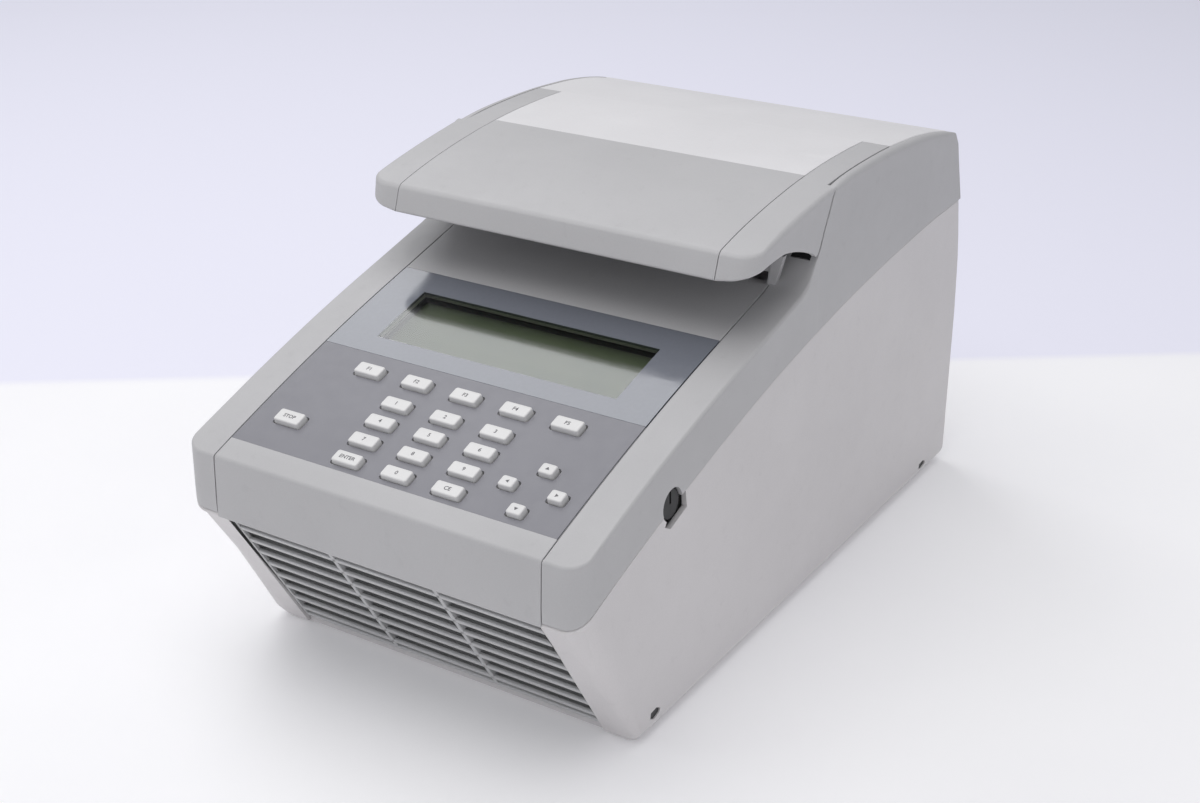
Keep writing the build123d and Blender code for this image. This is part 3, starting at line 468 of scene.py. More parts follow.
def plastic(name, rgb, rough=0.48, grain=1500.0, bump=0.10, drift=0.035, wear=0.10,
            spec=0.5, speckle=0.03, coat=0.0, dust=0.0):
    m, nt, b = new_mat(name)
    tc = nt.nodes.new("ShaderNodeTexCoord")
    vec = tc.outputs["Object"]
    fine = noise(nt, vec, grain, 2.0, 0.55)
    mid = noise(nt, vec, 140.0, 3.0, 0.6)
    wide = noise(nt, vec, 11.0, 3.0, 0.55)
    c = tuple(rgb)
    lo = tuple(v * (1 - drift) for v in c)
    hi = tuple(min(1, v * (1 + drift)) for v in c)
    col = mixc(nt, ramp(nt, wide, 0.3, 0.7, 0, 1), lo, hi)
    col = mixc(nt, ramp(nt, fine, 0.35, 0.65, 0, 1), col,
               mixc(nt, 1.0, col, (1 + speckle * 2,) * 3 if False else (1 - speckle,) * 3, "MULTIPLY"))
    if wear > 0:
        geo = nt.nodes.new("ShaderNodeNewGeometry")
        w = ramp(nt, geo.outputs["Pointiness"], 0.505, 0.56, 0, wear)
        wm = nt.nodes.new("ShaderNodeMath")
        wm.operation = "MULTIPLY"
        nt.links.new(w, wm.inputs[0])
        nt.links.new(ramp(nt, mid, 0.35, 0.6, 0.3, 1), wm.inputs[1])
        col = mixc(nt, wm.outputs[0], col, tuple(min(1, v * 1.35 + 0.04) for v in c))
    if dust > 0:
        d = ramp(nt, mid, 0.62, 0.8, 0, dust)
        col = mixc(nt, d, col, tuple(v * 0.78 for v in c))
    nt.links.new(col, b.inputs["Base Color"])
    r = ramp(nt, mid, 0.25, 0.75, rough - 0.05, rough + 0.07)
    nt.links.new(r, b.inputs["Roughness"])
    b.inputs["Specular IOR Level"].default_value = spec
    if coat:
        b.inputs["Coat Weight"].default_value = coat
        b.inputs["Coat Roughness"].default_value = 0.12
    bp = nt.nodes.new("ShaderNodeBump")
    bp.inputs["Strength"].default_value = bump
    bp.inputs["Distance"].default_value = 0.0002
    nt.links.new(fine, bp.inputs["Height"])
    nt.links.new(bp.outputs[0], b.inputs["Normal"])
    return m


def metal(name, rgb, rough=0.35, brush=(1.0, 1.0, 1.0), grain=900.0, bump=0.08):
    m, nt, b = new_mat(name)
    tc = nt.nodes.new("ShaderNodeTexCoord")
    mp = nt.nodes.new("ShaderNodeMapping")
    mp.inputs["Scale"].default_value = brush
    nt.links.new(tc.outputs["Object"], mp.inputs["Vector"])
    fine = noise(nt, mp.outputs[0], grain, 3.0, 0.6)
    mid = noise(nt, tc.outputs["Object"], 60.0, 3.0, 0.6)
    col = mixc(nt, ramp(nt, fine, 0.3, 0.7, 0, 1), tuple(v * 0.86 for v in rgb), tuple(min(1, v * 1.08) for v in rgb))
    geo = nt.nodes.new("ShaderNodeNewGeometry")
    col = mixc(nt, ramp(nt, geo.outputs["Pointiness"], 0.51, 0.57, 0, 0.35), col, tuple(min(1, v * 1.3) for v in rgb))
    nt.links.new(col, b.inputs["Base Color"])
    b.inputs["Metallic"].default_value = 1.0
    nt.links.new(ramp(nt, mid, 0.2, 0.8, rough - 0.08, rough + 0.1), b.inputs["Roughness"])
    bp = nt.nodes.new("ShaderNodeBump")
    bp.inputs["Strength"].default_value = bump
    bp.inputs["Distance"].default_value = 0.0002
    nt.links.new(fine, bp.inputs["Height"])
    nt.links.new(bp.outputs[0], b.inputs["Normal"])
    return m


GREY = plastic("grey moulding", (0.510, 0.505, 0.512), dust=0.25)
CREAM = plastic("cream moulding", (0.760, 0.750, 0.762), dust=0.15)
BEIGE = plastic("pale side moulding", (0.690, 0.668, 0.672), dust=0.2)
GRILLE = plastic("grille moulding", (0.520, 0.520, 0.525), rough=0.5)
# darker copy of the grille plastic for the slats: painted shade standing in for the dim hollow behind the bars
SLAT_SHADE = plastic("louvre inside", (0.38, 0.38, 0.385), rough=0.55)
DECK = plastic("deck moulding", (0.40, 0.41, 0.42))
LINER = plastic("liner moulding", (0.13, 0.13, 0.135), rough=0.55)
BLACK = plastic("black moulding", (0.018, 0.018, 0.019), rough=0.38, drift=0.15, speckle=0.1)
KNOB = plastic("knob moulding", (0.008, 0.008, 0.009), rough=0.5, drift=0.15, speckle=0.1)
FANB = plastic("fan moulding", (0.022, 0.022, 0.024), rough=0.42, drift=0.12)
KEYM = plastic("key moulding", (0.785, 0.778, 0.772), rough=0.42, grain=2200.0, bump=0.05, wear=0.05, drift=0.02)
OVER = plastic("overlay film", (0.238, 0.236, 0.262), rough=0.40, grain=2600.0, bump=0.10, wear=0.0, spec=0.5, drift=0.03)
INK = plastic("legend ink", (0.13, 0.13, 0.14), rough=0.5, wear=0.0)
RUB = plastic("foot rubber", (0.02, 0.02, 0.02), rough=0.8, drift=0.2)
GASK = plastic("gasket silicone", (0.06, 0.06, 0.065), rough=0.7, drift=0.2)
CERAM = plastic("ceramic", (0.75, 0.75, 0.72), rough=0.6)
STEEL = metal("plated sheet", (0.56, 0.56, 0.57), brush=(1, 1, 14))
SCREW = metal("zinc plate", (0.60, 0.60, 0.59), rough=0.3)
ALU = metal("bead blasted block", (0.72, 0.72, 0.73), rough=0.42, grain=2500.0, bump=0.2)
SINK = metal("extruded fins", (0.55, 0.55, 0.57), brush=(1, 12, 1), rough=0.4)
PLATE = metal("anodised plate", (0.42, 0.42, 0.44), rough=0.4)
SPRING = metal("spring wire", (0.45, 0.45, 0.47), rough=0.3)


def board():
    m, nt, b = new_mat("solder mask")
    tc = nt.nodes.new("ShaderNodeTexCoord")
    v = nt.nodes.new("ShaderNodeTexVoronoi")
    v.feature = "DISTANCE_TO_EDGE"
    v.inputs["Scale"].default_value = 220.0
    nt.links.new(tc.outputs["Object"], v.inputs["Vector"])
    tr = ramp(nt, v.outputs["Distance"], 0.02, 0.05, 1, 0)
    n = noise(nt, tc.outputs["Object"], 90.0, 2.0)
    c = mixc(nt, ramp(nt, n, 0.3, 0.7, 0, 1), (0.012, 0.10, 0.04), (0.02, 0.16, 0.06))
    c = mixc(nt, tr, c, (0.03, 0.24, 0.09))
    nt.links.new(c, b.inputs["Base Color"])
    b.inputs["Roughness"].default_value = 0.35
    bp = nt.nodes.new("ShaderNodeBump")
    bp.inputs["Strength"].default_value = 0.3
    bp.inputs["Distance"].default_value = 0.0001
    nt.links.new(tr, bp.inputs["Height"])
    nt.links.new(bp.outputs[0], b.inputs["Normal"])
    return m


BOARD = board()


def window_border():
    m = plastic("window print", (0.190, 0.202, 0.235), rough=0.10, grain=500.0, bump=0.006, wear=0.0, drift=0.03)
    b = [n for n in m.node_tree.nodes if n.type == "BSDF_PRINCIPLED"][0]
    b.inputs["Specular IOR Level"].default_value = 1.0
    b.inputs["IOR"].default_value = 1.50
    return m


def window_clear():
    m, nt, b = new_mat("window pane")
    out = [n for n in nt.nodes if n.type == "OUTPUT_MATERIAL"][0]
    nt.nodes.remove(b)
    tr = nt.nodes.new("ShaderNodeBsdfTransparent")
    tr.inputs["Color"].default_value = (0.90, 0.92, 0.90, 1)
    gl = nt.nodes.new("ShaderNodeBsdfGlossy")
    gl.inputs["Roughness"].default_value = 0.09
    tc = nt.nodes.new("ShaderNodeTexCoord")
    n = noise(nt, tc.outputs["Object"], 35.0, 3.0)
    c = mixc(nt, ramp(nt, n, 0.3, 0.7, 0, 1), (0.94, 0.95, 0.97), (1.0, 1.0, 1.0))
    nt.links.new(c, gl.inputs["Color"])
    fr = nt.nodes.new("ShaderNodeFresnel")
    fr.inputs["IOR"].default_value = 2.05
    mx = nt.nodes.new("ShaderNodeMixShader")
    nt.links.new(fr.outputs[0], mx.inputs[0])
    nt.links.new(tr.outputs[0], mx.inputs[1])
    nt.links.new(gl.outputs[0], mx.inputs[2])
    nt.links.new(mx.outputs[0], out.inputs[0])
    return m


def lcd_mat():
    """Reflective cell: olive green with rows of character blocks."""
    m, nt, b = new_mat("display cell")
    tc = nt.nodes.new("ShaderNodeTexCoord")
    sep = nt.nodes.new("ShaderNodeSeparateXYZ")
    nt.links.new(tc.outputs["Object"], sep.inputs[0])

    def comb(sock, period, duty, shift=0.0):
        a = nt.nodes.new("ShaderNodeMath")
        a.operation = "ADD"
        nt.links.new(sock, a.inputs[0])
        a.inputs[1].default_value = 10.0 + shift
        f = nt.nodes.new("ShaderNodeMath")
        f.operation = "PINGPONG"
        nt.links.new(a.outputs[0], f.inputs[0])
        f.inputs[1].default_value = period / 2
        return ramp(nt, f.outputs[0], period / 2 * (1 - duty) - 0.00008, period / 2 * (1 - duty) + 0.00008, 0, 1)
    gx = comb(sep.outputs["X"], 0.0036, 0.82)
    gy = comb(sep.outputs["Y"], 0.0094, 0.80)
    mul = nt.nodes.new("ShaderNodeMath")
    mul.operation = "MULTIPLY"
    nt.links.new(gx, mul.inputs[0])
    nt.links.new(gy, mul.inputs[1])
    n = noise(nt, tc.outputs["Object"], 45.0, 3.0)
    base = mixc(nt, ramp(nt, n, 0.3, 0.7, 0, 1), (0.105, 0.150, 0.055), (0.145, 0.190, 0.080))
    k = nt.nodes.new("ShaderNodeMath")
    k.operation = "MULTIPLY"
    nt.links.new(mul.outputs[0], k.inputs[0])
    k.inputs[1].default_value = 0.16
    base = mixc(nt, k.outputs[0], base, (0.06, 0.09, 0.04))
    nt.links.new(base, b.inputs["Base Color"])
    b.inputs["Metallic"].default_value = 0.0
    b.inputs["Roughness"].default_value = 0.16
    b.inputs["IOR"].default_value = 1.9
    b.inputs["Specular IOR Level"].default_value = 1.0
    bp = nt.nodes.new("ShaderNodeBump")
    bp.inputs["Strength"].default_value = 0.02
    bp.inputs["Distance"].default_value = 0.0001
    nt.links.new(mul.outputs[0], bp.inputs["Height"])
    nt.links.new(bp.outputs[0], b.inputs["Normal"])
    return m


PRINT = window_border()
PANE = window_clear()
LCD = lcd_mat()

CADMAT = {
    "front_grille": GRILLE, "base_tray": BEIGE, "rubber_feet": RUB, "rear_panel": BEIGE,
    "rear_screws": SCREW, "power_inlet": BLACK, "switch_frame": BLACK, "power_rocker": BLACK,
    "sample_deck": DECK, "block_gasket": GASK, "sample_block": ALU, "peltier_modules": CERAM,
    "heatsink": SINK, "fan_housing": FANB, "fan_rotor": FANB, "fan_bracket": STEEL,
    "power_supply": STEEL, "main_board": BOARD, "keypad_board": BOARD, "lcd_frame": BLACK,
    "lcd_glass": LCD, "hinge_trough": STEEL, "lid_liner": LINER, "heated_plate": PLATE,
    "plate_springs": SPRING, "contrast_knob": KNOB, "contrast_pot": BLACK,
    "side_band_right": GREY, "side_band_left": GREY, "side_panel_right": BEIGE,
    "side_panel_left": BEIGE, "control_panel": GREY, "keypad_overlay": OVER,
    "display_window": PRINT, "lid_front_cover": GREY, "lid_top_cover": CREAM,
    "lid_strip_right": GREY, "lid_strip_left": GREY,
}
for n, ob in NODES.items():
    m = CADMAT.get(n, KEYM)
    ob.data.materials.clear()
    ob.data.materials.append(m)


# ---------------------------------------------------------------------------
# side bands
# ---------------------------------------------------------------------------
cheek_d = dense(CHEEK, 3.0)
seam_d = dense(LID_SEAM, 3.0)
lip_d = dense(LIP_TOP, 3.0)
band_top = cheek_d + seam_d[1:]
ZT_A = zof(band_top)
ZB = zof(dense(BOUND, 4.0))
XS = SEAM + 0.30


def band_rings():
    R, y0 = 12.0, 0.6
    tilt = 2.4 / 32.0
    cols = []
    for k in range(6):
        cols.append((XS + (HW - R - XS) * k / 5, y0, 0.0, -1.0))
    for k in range(1, 13):
        a = math.radians(-90 + 7.5 * k)
        cols.append((HW - R + R * math.cos(a), y0 + R + R * math.sin(a), math.cos(a), math.sin(a)))
    nf = len(cols)
    side = [q[0] for q in band_top if 12.6 < q[0] < 222.6] + [222.6]
    rings = []
    rho0 = 1.1
    for i, (x, y, nx, ny) in enumerate(cols):
        w = -ny
        # the lower edge of the nose stands a little inside the pale rim below it
        p = (lambda x, y, w, nx, ny: (lambda z: (
            x - nx * 1.15 * w ** 0.7 * max(0.0, 1 - (z - 91.0) / 5.0) ** 2 if w > 0 else x,
            y + tilt * (z - 91.6) * w - ny * 1.15 * (w ** 0.7 if w > 0 else 0.0) * max(0.0, 1 - (z - 91.0) / 5.0) ** 2)))(x, y, max(w, 0.0), nx, ny)
        sy = 3.0 + rho0 + (12.6 - 3.0 - rho0) * i / (nf - 1)
        rings.append(shell_ring(p, (nx, ny), ZB, ZT_A, rho0, 0.9 - 0.3 * i / (nf - 1), seam=(XS, sy)))
    for y in side:
        r = float(np.interp(y, [12, 40, 150, 200, 212, 218, 222.6], [1.1, 1.7, 2.0, 2.0, 1.6, 1.0, 0.5]))
        p = (lambda y: (lambda z: (HW, y)))(y)
        rings.append(shell_ring(p, (1.0, 0.0), ZB, ZT_A, r, float(np.interp(y, [12, 60], [0.6, 0.3])), seam=(XS, y)))
    return rings


rear_d = fillet_poly([lip_d[-3], lip_d[-2], REAR[0], REAR[1], REAR[2], REAR[3]], 0.9, 5.0)
tail = [q for q in rear_d if q[0] > lip_d[-2][0] + 0.01]
tail_d = []
for a, b in zip(tail, tail[1:]):
    tail_d += dense([a, b], 3.0)[:-1]
tail_d.append(tail[-1])
prof_b = [q for q in seam_d if q[0] > 222.6] + lip_d[1:-1] + tail_d
ZT_B = zof([(222.6, ZT_A(222.6))] + prof_b)


def band_rings_b():
    rings = []
    ys = [222.6] + [q[0] for q in prof_b]
    for y in ys:
        r = float(np.interp(y, [222.6, 238.0, 240.6, 250, 300, 375, 388, 402.6],
                            [0.5, 0.6, 1.9, 2.8, 3.6, 3.2, 1.4, 0.8]))
        x_in = 115.5 if y < 397.4 else 110.4
        z = ZT_B(y)
        zl = min(195.0, z - 2.6)
        p = (lambda y: (lambda zz: (HW, y)))(y)
        rings.append(shell_ring(p, (1.0, 0.0), ZB, ZT_B, min(r, HW - x_in - 0.5), 0.3, seam=(x_in, y),
                                K=3, se=0.5, zlow=max(zl, ZB(y) + 0.3)))
    return rings


RA, RB = band_rings(), band_rings_b()


def cutter_x(name, pts, x0, x1):
    """Prism along x from a (y, z) outline, used to cut holes."""
    bm = bmesh.new()
    add_rings(bm, [[(x0, *p) for p in pts], [(x1, *p) for p in pts]])
    bmesh.ops.recalc_face_normals(bm, faces=bm.faces)
    me = bpy.data.meshes.new(name)
    bm.to_mesh(me)
    bm.free()
    ob = bpy.data.objects.new(name, me)
    bpy.context.collection.objects.link(ob)
    return ob


def circle(cy, cz, r, n=48):
    return [(cy + r * math.cos(2 * math.pi * k / n), cz + r * math.sin(2 * math.pi * k / n)) for k in range(n)]


def boolean(ob, cutters, op="DIFFERENCE"):
    """Cut with the exact solver, then drop the cutters."""
    for c in cutters:
        md = ob.modifiers.new("cut", "BOOLEAN")
        md.operation = op
        md.solver = "EXACT"
        md.object = c
    for md in list(ob.modifiers):
        if md.type == "WEIGHTED_NORMAL":
            ob.modifiers.remove(md)
    dg = bpy.context.evaluated_depsgraph_get()
    me = bpy.data.meshes.new_from_object(ob.evaluated_get(dg))
    for md in list(ob.modifiers):
        ob.modifiers.remove(md)
    old = ob.data
    ob.data = me
    bpy.data.meshes.remove(old)
    for c in cutters:
        cm = c.data
        bpy.data.objects.remove(c)
        bpy.data.meshes.remove(cm)
    me.shade_smooth()
    me.set_sharp_from_angle(angle=math.radians(35))
    w = ob.modifiers.new("normals", "WEIGHTED_NORMAL")
    w.keep_sharp = True
    w.weight = 60


KY, KZ, KR = 79.5, 122.0, 7.6
for side, sgn in (("right", 1), ("left", -1)):
    bm = bmesh.new()
    add_rings(bm, RA if sgn > 0 else flip_rings(RA))
    ob = finish_mesh("band_front_" + side, bm, [GREY], None)
    a, b = sorted((sgn * 104.6, sgn * 116.0))
    cc = [cutter_x("c0", [(214.0, 195.4), (214.0, 206.0), (224.5, 206.0), (224.5, 195.4)], a, b)]
    if sgn > 0:
        cc.append(cutter_x("c1", circle(KY, KZ, KR + 1.0), 110, 125))
    boolean(ob, cc)
    # black wedge inside the cheek slot: painted shade for the dark hollow between the cheek and the lid skirt
    bm = bmesh.new()
    a, b = sorted((sgn * 104.7, sgn * 115.9))
    sweep_x(bm, clockwise([(220.9, 195.5), (224.4, 195.5), (224.4, 200.4)]), a, b, edge=0.0, n=1)
    shade_plug = finish_mesh("cheek_opening_" + side, bm, [BLACK], "housing")
    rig.replaces(shade_plug, "side_band_" + side)
    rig.slot(shade_plug, "grey_shell")
    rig.ride(ob, "housing")
    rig.replaces(ob, "side_band_" + side)
    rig.slot(ob, "grey_shell")
    bm = bmesh.new()
    add_rings(bm, RB if sgn > 0 else flip_rings(RB))
    ob2 = finish_mesh("band_rear_" + side, bm, [GREY], "housing")
    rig.replaces(ob2, "side_band_" + side)
    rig.slot(ob2, "grey_shell")


# ---------------------------------------------------------------------------
# front grille: rounded bars with short slats rising behind them
# ---------------------------------------------------------------------------
def louvres():
    d = np.array([GA[0] - GB[0], GA[1] - GB[1]])
    ln = float(np.hypot(*d))
    up_ = d / ln
    nrm = np.array([-up_[1], up_[0]])            # outward, towards the front
    if nrm[0] > 0:
        nrm = -nrm

    def at(v, w):
        q = np.array(GA) + up_ * v + nrm * (w - 1.2)
        return (float(q[0]), float(q[1]))
    gw = FLANK_X - 0.35
    bm = bmesh.new()
    P = 11.05

    def bar(v0, v1, x0, x1, r=0.8, depth=2.1, edge=0.0):
        pr = [at(v0, -depth), at(v0, -0.02), at(v1, -0.02), at(v1, -depth)]
        pr = fillet_poly([at((v0 + v1) / 2, -depth), pr[0], pr[1], pr[2], pr[3], at((v0 + v1) / 2, -depth)], r, 20)[:-1]
        sweep_x(bm, clockwise(pr), x0, x1, edge=edge, n=1)
    for i in range(8):
        v1 = -8.2 - P * i
        bar(v1 - 3.1, v1, -gw + 0.8, gw - 0.8)
        # slat: rises gently behind the lower half of the bar, in the darker louvre plastic that paints the shade inside
        # the grille
        a = at(v1 - 2.9, -1.9)
        b = at(v1 - 1.6, -1.9)
        sl = [a, (a[0] + 7.6, a[1] + 3.2), (a[0] + 7.6, a[1] + 4.2), b]
        sweep_x(bm, clockwise(sl), -gw + 0.8, gw - 0.8, edge=0.0, n=1, mat=1)
    bar(-ln, -92.0, -gw, gw)
    for sg in (-1, 1):
        a, b = sorted((sg * (gw - 1.7), sg * gw))
        bar(-ln, -0.3, a, b, r=0.5, edge=0.4)
        a, b = sorted((sg * 30.9, sg * 33.5))
        bar(-ln + 1.0, -0.5, a, b, r=0.6, depth=6.0, edge=0.5)
    ob = finish_mesh("louvre_insert", bm, [GRILLE, SLAT_SHADE], "housing")
    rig.replaces(ob, "front_grille")
    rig.slot(ob, "grille_plastic")
    return ob


louvres()


# ---------------------------------------------------------------------------
# short posts beside the wall behind the slope
# ---------------------------------------------------------------------------
for side, sgn in (("right", 1), ("left", -1)):
    bm = bmesh.new()
    quad = clockwise([(97.3, 182.4), (102.2, 182.4), (107.2, 199.6), (100.1, 199.6)])
    add_rings(bm, [[(sgn * x, yy, z) for x, z in (offset(quad, dn, closed=True) if dn else quad)]
                   for yy, dn in ((209.0, 0.5), (209.15, 0.2), (209.45, 0.0), (211.8, 0.0))])
    po_ = finish_mesh("wall_post_" + side, bm, [GREY], "housing")
    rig.replaces(po_, "side_band_" + side)
    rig.slot(po_, "grey_shell")


# ---------------------------------------------------------------------------
# lower side panels
# ---------------------------------------------------------------------------
def panel_rings():
    XB = 119.6
    ft = (GB[0] - GA[0]) / (GA[1] - GB[1])       # lean of the slanted front

    def hw(z):
        bev = 0.0 if z > 8.6 else (7.0 - z if z < 5.4 else (8.6 - z) ** 2 / 6.4)
        return XB - 2.2 * max(0.0, 100.0 - z) / 105.0 - 0.78 * bev

    def rad(z):
        return 3.4 + 10.6 * min(1.0, max(0.0, (z - 6.0) / 62.0)) ** 0.9
    yf = lambda z: GA[0] + ft * (GA[1] - z)
    rp = [(3.0, 403.0), (9.0, 407.4), (140.0, 407.4), (175.0, 402.6), (260.0, 391.0)]
    yr = lambda z: float(np.interp(z, [q[0] for q in rp], [q[1] for q in rp]))
    ztop = lambda y: ZB(y) - 0.35
    zbot = lambda y: 1.4
    cols = []
    for k in range(5):
        f = k / 4
        cols.append(("f", f))
    for k in range(1, 15):
        cols.append(("a", math.radians(-90 + 90 * k / 14)))
    us = [0.004, 0.01, 0.02, 0.035, 0.05] + [0.05 + 0.95 * k / 46 for k in range(1, 46)]
    us = [u for u in us if u < 0.992]
    for u in us:
        cols.append(("s", u))
    RR = 2.5
    for k in range(0, 6):
        cols.append(("r", math.radians(90 * k / 5)))
    cols.append(("b", 0.5))
    cols.append(("b", 1.0))
    rings = []

    def levels(zb, zt):
        lo = [2.8, 4.2, 5.4, 6.2, 7.0, 7.8, 8.6, 12.0, 18.0]
        hi = [zt - 6.0, zt - 4.8, zt - 3.6, zt - 2.6, zt - 1.6]
        return lo + [18.0 + (hi[0] - 18.0) * k / 9 for k in range(1, 9)] + hi

    def blend(pa, pb):
        """Lower outline that runs out flush with the band at its top edge."""
        def f(z):
            a = pa(z)
            top = ztop(a[1])
            s = min(1.0, max(0.0, (z - top + 6.0) / 5.4))
            s = s * s * (3 - 2 * s)
            b = pb(z)
            return (a[0] * (1 - s) + b[0] * s, a[1] * (1 - s) + b[1] * s)
        return f
    for kind, v in cols:
        if kind == "f":
            p = (lambda v: (lambda z: (FLANK_X + 0.15 + (hw(z) - rad(z) - FLANK_X - 0.15) * v, yf(z))))(v)
            p = blend(p, (lambda v: (lambda z: (FLANK_X + 0.15 + (HW - 12.0 - FLANK_X - 0.15) * v, 0.7)))(v))
            n = (0.0, -1.0)
            rb = 0.7
        elif kind == "a":
            p = (lambda a: (lambda z: (hw(z) - rad(z) + rad(z) * math.cos(a),
                                       yf(z) + 1.1 * rad(z) * (1 + math.sin(a)))))(v)
            p = blend(p, (lambda a: (lambda z: (HW - 12.0 + (11.9 + 0.45 * math.sin(-2 * a) * (a < 0)) * math.cos(a),
                                       12.6 + (11.9 + 0.45 * math.sin(-2 * a) * (a < 0)) * math.sin(a))))(v))
            nn = np.array([math.cos(v), math.sin(v)])
            nn = nn / np.hypot(*nn)
            n = (float(nn[0]), float(nn[1]))
            rb = 0.7
        elif kind == "s":
            p = (lambda u: (lambda z: (hw(z), (yf(z) + 1.1 * rad(z)) * (1 - u) + (yr(z) - RR) * u)))(v)
            if v < 0.3:
                p = blend(p, (lambda pa, k: (lambda z: (HW - 0.1 * k - 0.4 * (1 - k), pa(z)[1] if k < 1 else 12.6)))(p, max(0.0, 1 - v / 0.3)))
            n = (1.0, 0.0)
            rb = 0.7
        elif kind == "r":
            p = (lambda a: (lambda z: (hw(z) - RR + RR * math.cos(a), yr(z) - RR + RR * math.sin(a))))(v)
            n = (math.cos(v), math.sin(v))
            rb = 0.7
        else:
            p = (lambda u: (lambda z: (110.3 * u + (hw(z) - RR) * (1 - u), yr(z))))(v)
            n = (0.0, 1.0)
            rb = 0.7
        rt = 0.4
        if kind == "f":
            rt = 1.5
        elif kind == "a":
            rt = 1.5 - 1.1 * (math.degrees(v) + 90) / 90
        rings.append(shell_ring(p, n, zbot, ztop, rt, rb, K=2, th=2.6, low=2.0, rows=levels))
    return rings


RP = panel_rings()
for side, sgn in (("right", 1), ("left", -1)):
    bm = bmesh.new()
    add_rings(bm, RP if sgn > 0 else flip_rings(RP))
    ob = finish_mesh("lower_panel_" + side, bm, [BEIGE], None)
    if sgn > 0:
        relief = [(84.0, 126.5), (91.0, 128.4), (93.0, 114.6), (78.0, 109.6), (73.0, 112.6), (KY, KZ)]
        boolean(ob, [cutter_x("c1", circle(KY, KZ, KR + 1.0), 112, 125), cutter_x("c2", relief, 112, 125)])
    cuts = []
    xs = sorted((sgn * 114.4, sgn * 122))
    notch = ([(61.0, 11.4), (61.6, 14.6), (66.6, 15.2), (70.4, 12.9), (69.2, 10.7), (64.5, 9.5)],
             [(369.6, 9.2), (370.0, 12.2), (375.0, 12.8), (379.2, 11.0), (378.0, 9.2), (373.0, 8.2)])
    for k, n_ in enumerate(notch):
        cuts.append(cutter_x("n", n_, *xs))
        # black plug just under the surface of each notch: painted shade, so the shallow notch reads as a dark hollow
        bm = bmesh.new()
        a, b = sorted((sgn * 113.8, sgn * (116.9 - 0.1 * k)))
        sweep_x(bm, clockwise(offset(clockwise(n_), -0.25, closed=True)), a, b, edge=0.0, n=1)
        shade_plug = finish_mesh("panel_notch_%s_%d" % (side, k), bm, [BLACK], "housing")
        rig.replaces(shade_plug, "side_panel_" + side)
        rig.slot(shade_plug, "beige_shell")
    boolean(ob, cuts)
    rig.ride(ob, "housing")
    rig.replaces(ob, "side_panel_" + side)
    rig.slot(ob, "beige_shell")


# ---------------------------------------------------------------------------
# control panel: nose face, slope with its recess for the films, wall behind
# ---------------------------------------------------------------------------
slope_d = dense(SLOPE, 3.0)
ZS = zof(slope_d)
OV0, OV1, WI1 = 16.0, 90.6, 159.4


def run(y0, y1, d):
    """Part of the slope between two ordinates, d below the surface."""
    base = [q for q in slope_d if y0 < q[0] < y1]
    pts = [(y0, ZS(y0))] + base + [(y1, ZS(y1))]
    return offset(pts, d)


nose_front = [(0.6, 90.6), (0.6, 91.6)] + dense([(0.6, 91.6), (3.0, 123.6)], 6)[1:-1]
cp_prof = fillet_poly([(2.2, 90.2), (0.6, 90.2), (0.6, 91.6), (3.0, 123.6), slope_d[2]], 2.6, 20)
cp_prof = [(8.0, 90.2)] + cp_prof[:-1] + run(slope_d[2][0], OV0 - 0.01, 0) + run(OV0, OV1, 0.65) \
    + run(OV1 + 0.01, WI1 + 0.2, 1.45) + run(WI1 + 0.21, 207.5, 0) \
    + [(208.6, 182.6), (210.4, 183.6), (211.6, 185.2), (212.0, 187.2), (212.0, 198.0), (214.8, 198.0), (214.8, 185.4), (212.6, 181.0)] \
    + list(reversed(run(8.0, 207.5, 3.6))) + [(6.6, 119.0), (3.8, 93.0), (8.0, 93.0)]
bm = bmesh.new()
sweep_x(bm, clockwise(cp_prof), -SEAM + 0.28, SEAM - 0.28, edge=0.35, n=12)
cpo = finish_mesh("panel_shell", bm, [GREY], None)


def slope_point(s):
    pts = [(OV0, ZS(OV0))] + [q for q in slope_d if q[0] > OV0 + 0.01]
    for a, b in zip(pts, pts[1:]):
        n = math.hypot(b[0] - a[0], b[1] - a[1])
        if s <= n:
            break
        s -= n
    k = s / n
    return a[0] + k * (b[0] - a[0]), a[1] + k * (b[1] - a[1]), math.atan2(b[1] - a[1], b[0] - a[0])


def on_slope(x, s):
    """Frame at a place on the slope: local x across, y up the slope, z out."""
    y, z, a = slope_point(s)
    a = math.atan2(slope_point(s + 4)[1] - slope_point(max(0, s - 4))[1],
                   slope_point(s + 4)[0] - slope_point(max(0, s - 4))[0])
    ux, uy, uz = (1, 0, 0), (0, math.cos(a), math.sin(a)), (0, -math.sin(a), math.cos(a))

    def f(p):
        return (x + p[0], y + p[1] * uy[1] + p[2] * uz[1], z + p[1] * uy[2] + p[2] * uz[2])
    return f


def rrect(w, h, r, n=6):
    out = []
    for cx, cy, a0 in ((w / 2 - r, h / 2 - r, 0), (-w / 2 + r, h / 2 - r, 90),
                       (-w / 2 + r, -h / 2 + r, 180), (w / 2 - r, -h / 2 + r, 270)):
        for k in range(n + 1):
            a = math.radians(a0 + 90 * k / n)
            out.append((cx + r * math.cos(a), cy + r * math.sin(a)))
    return out


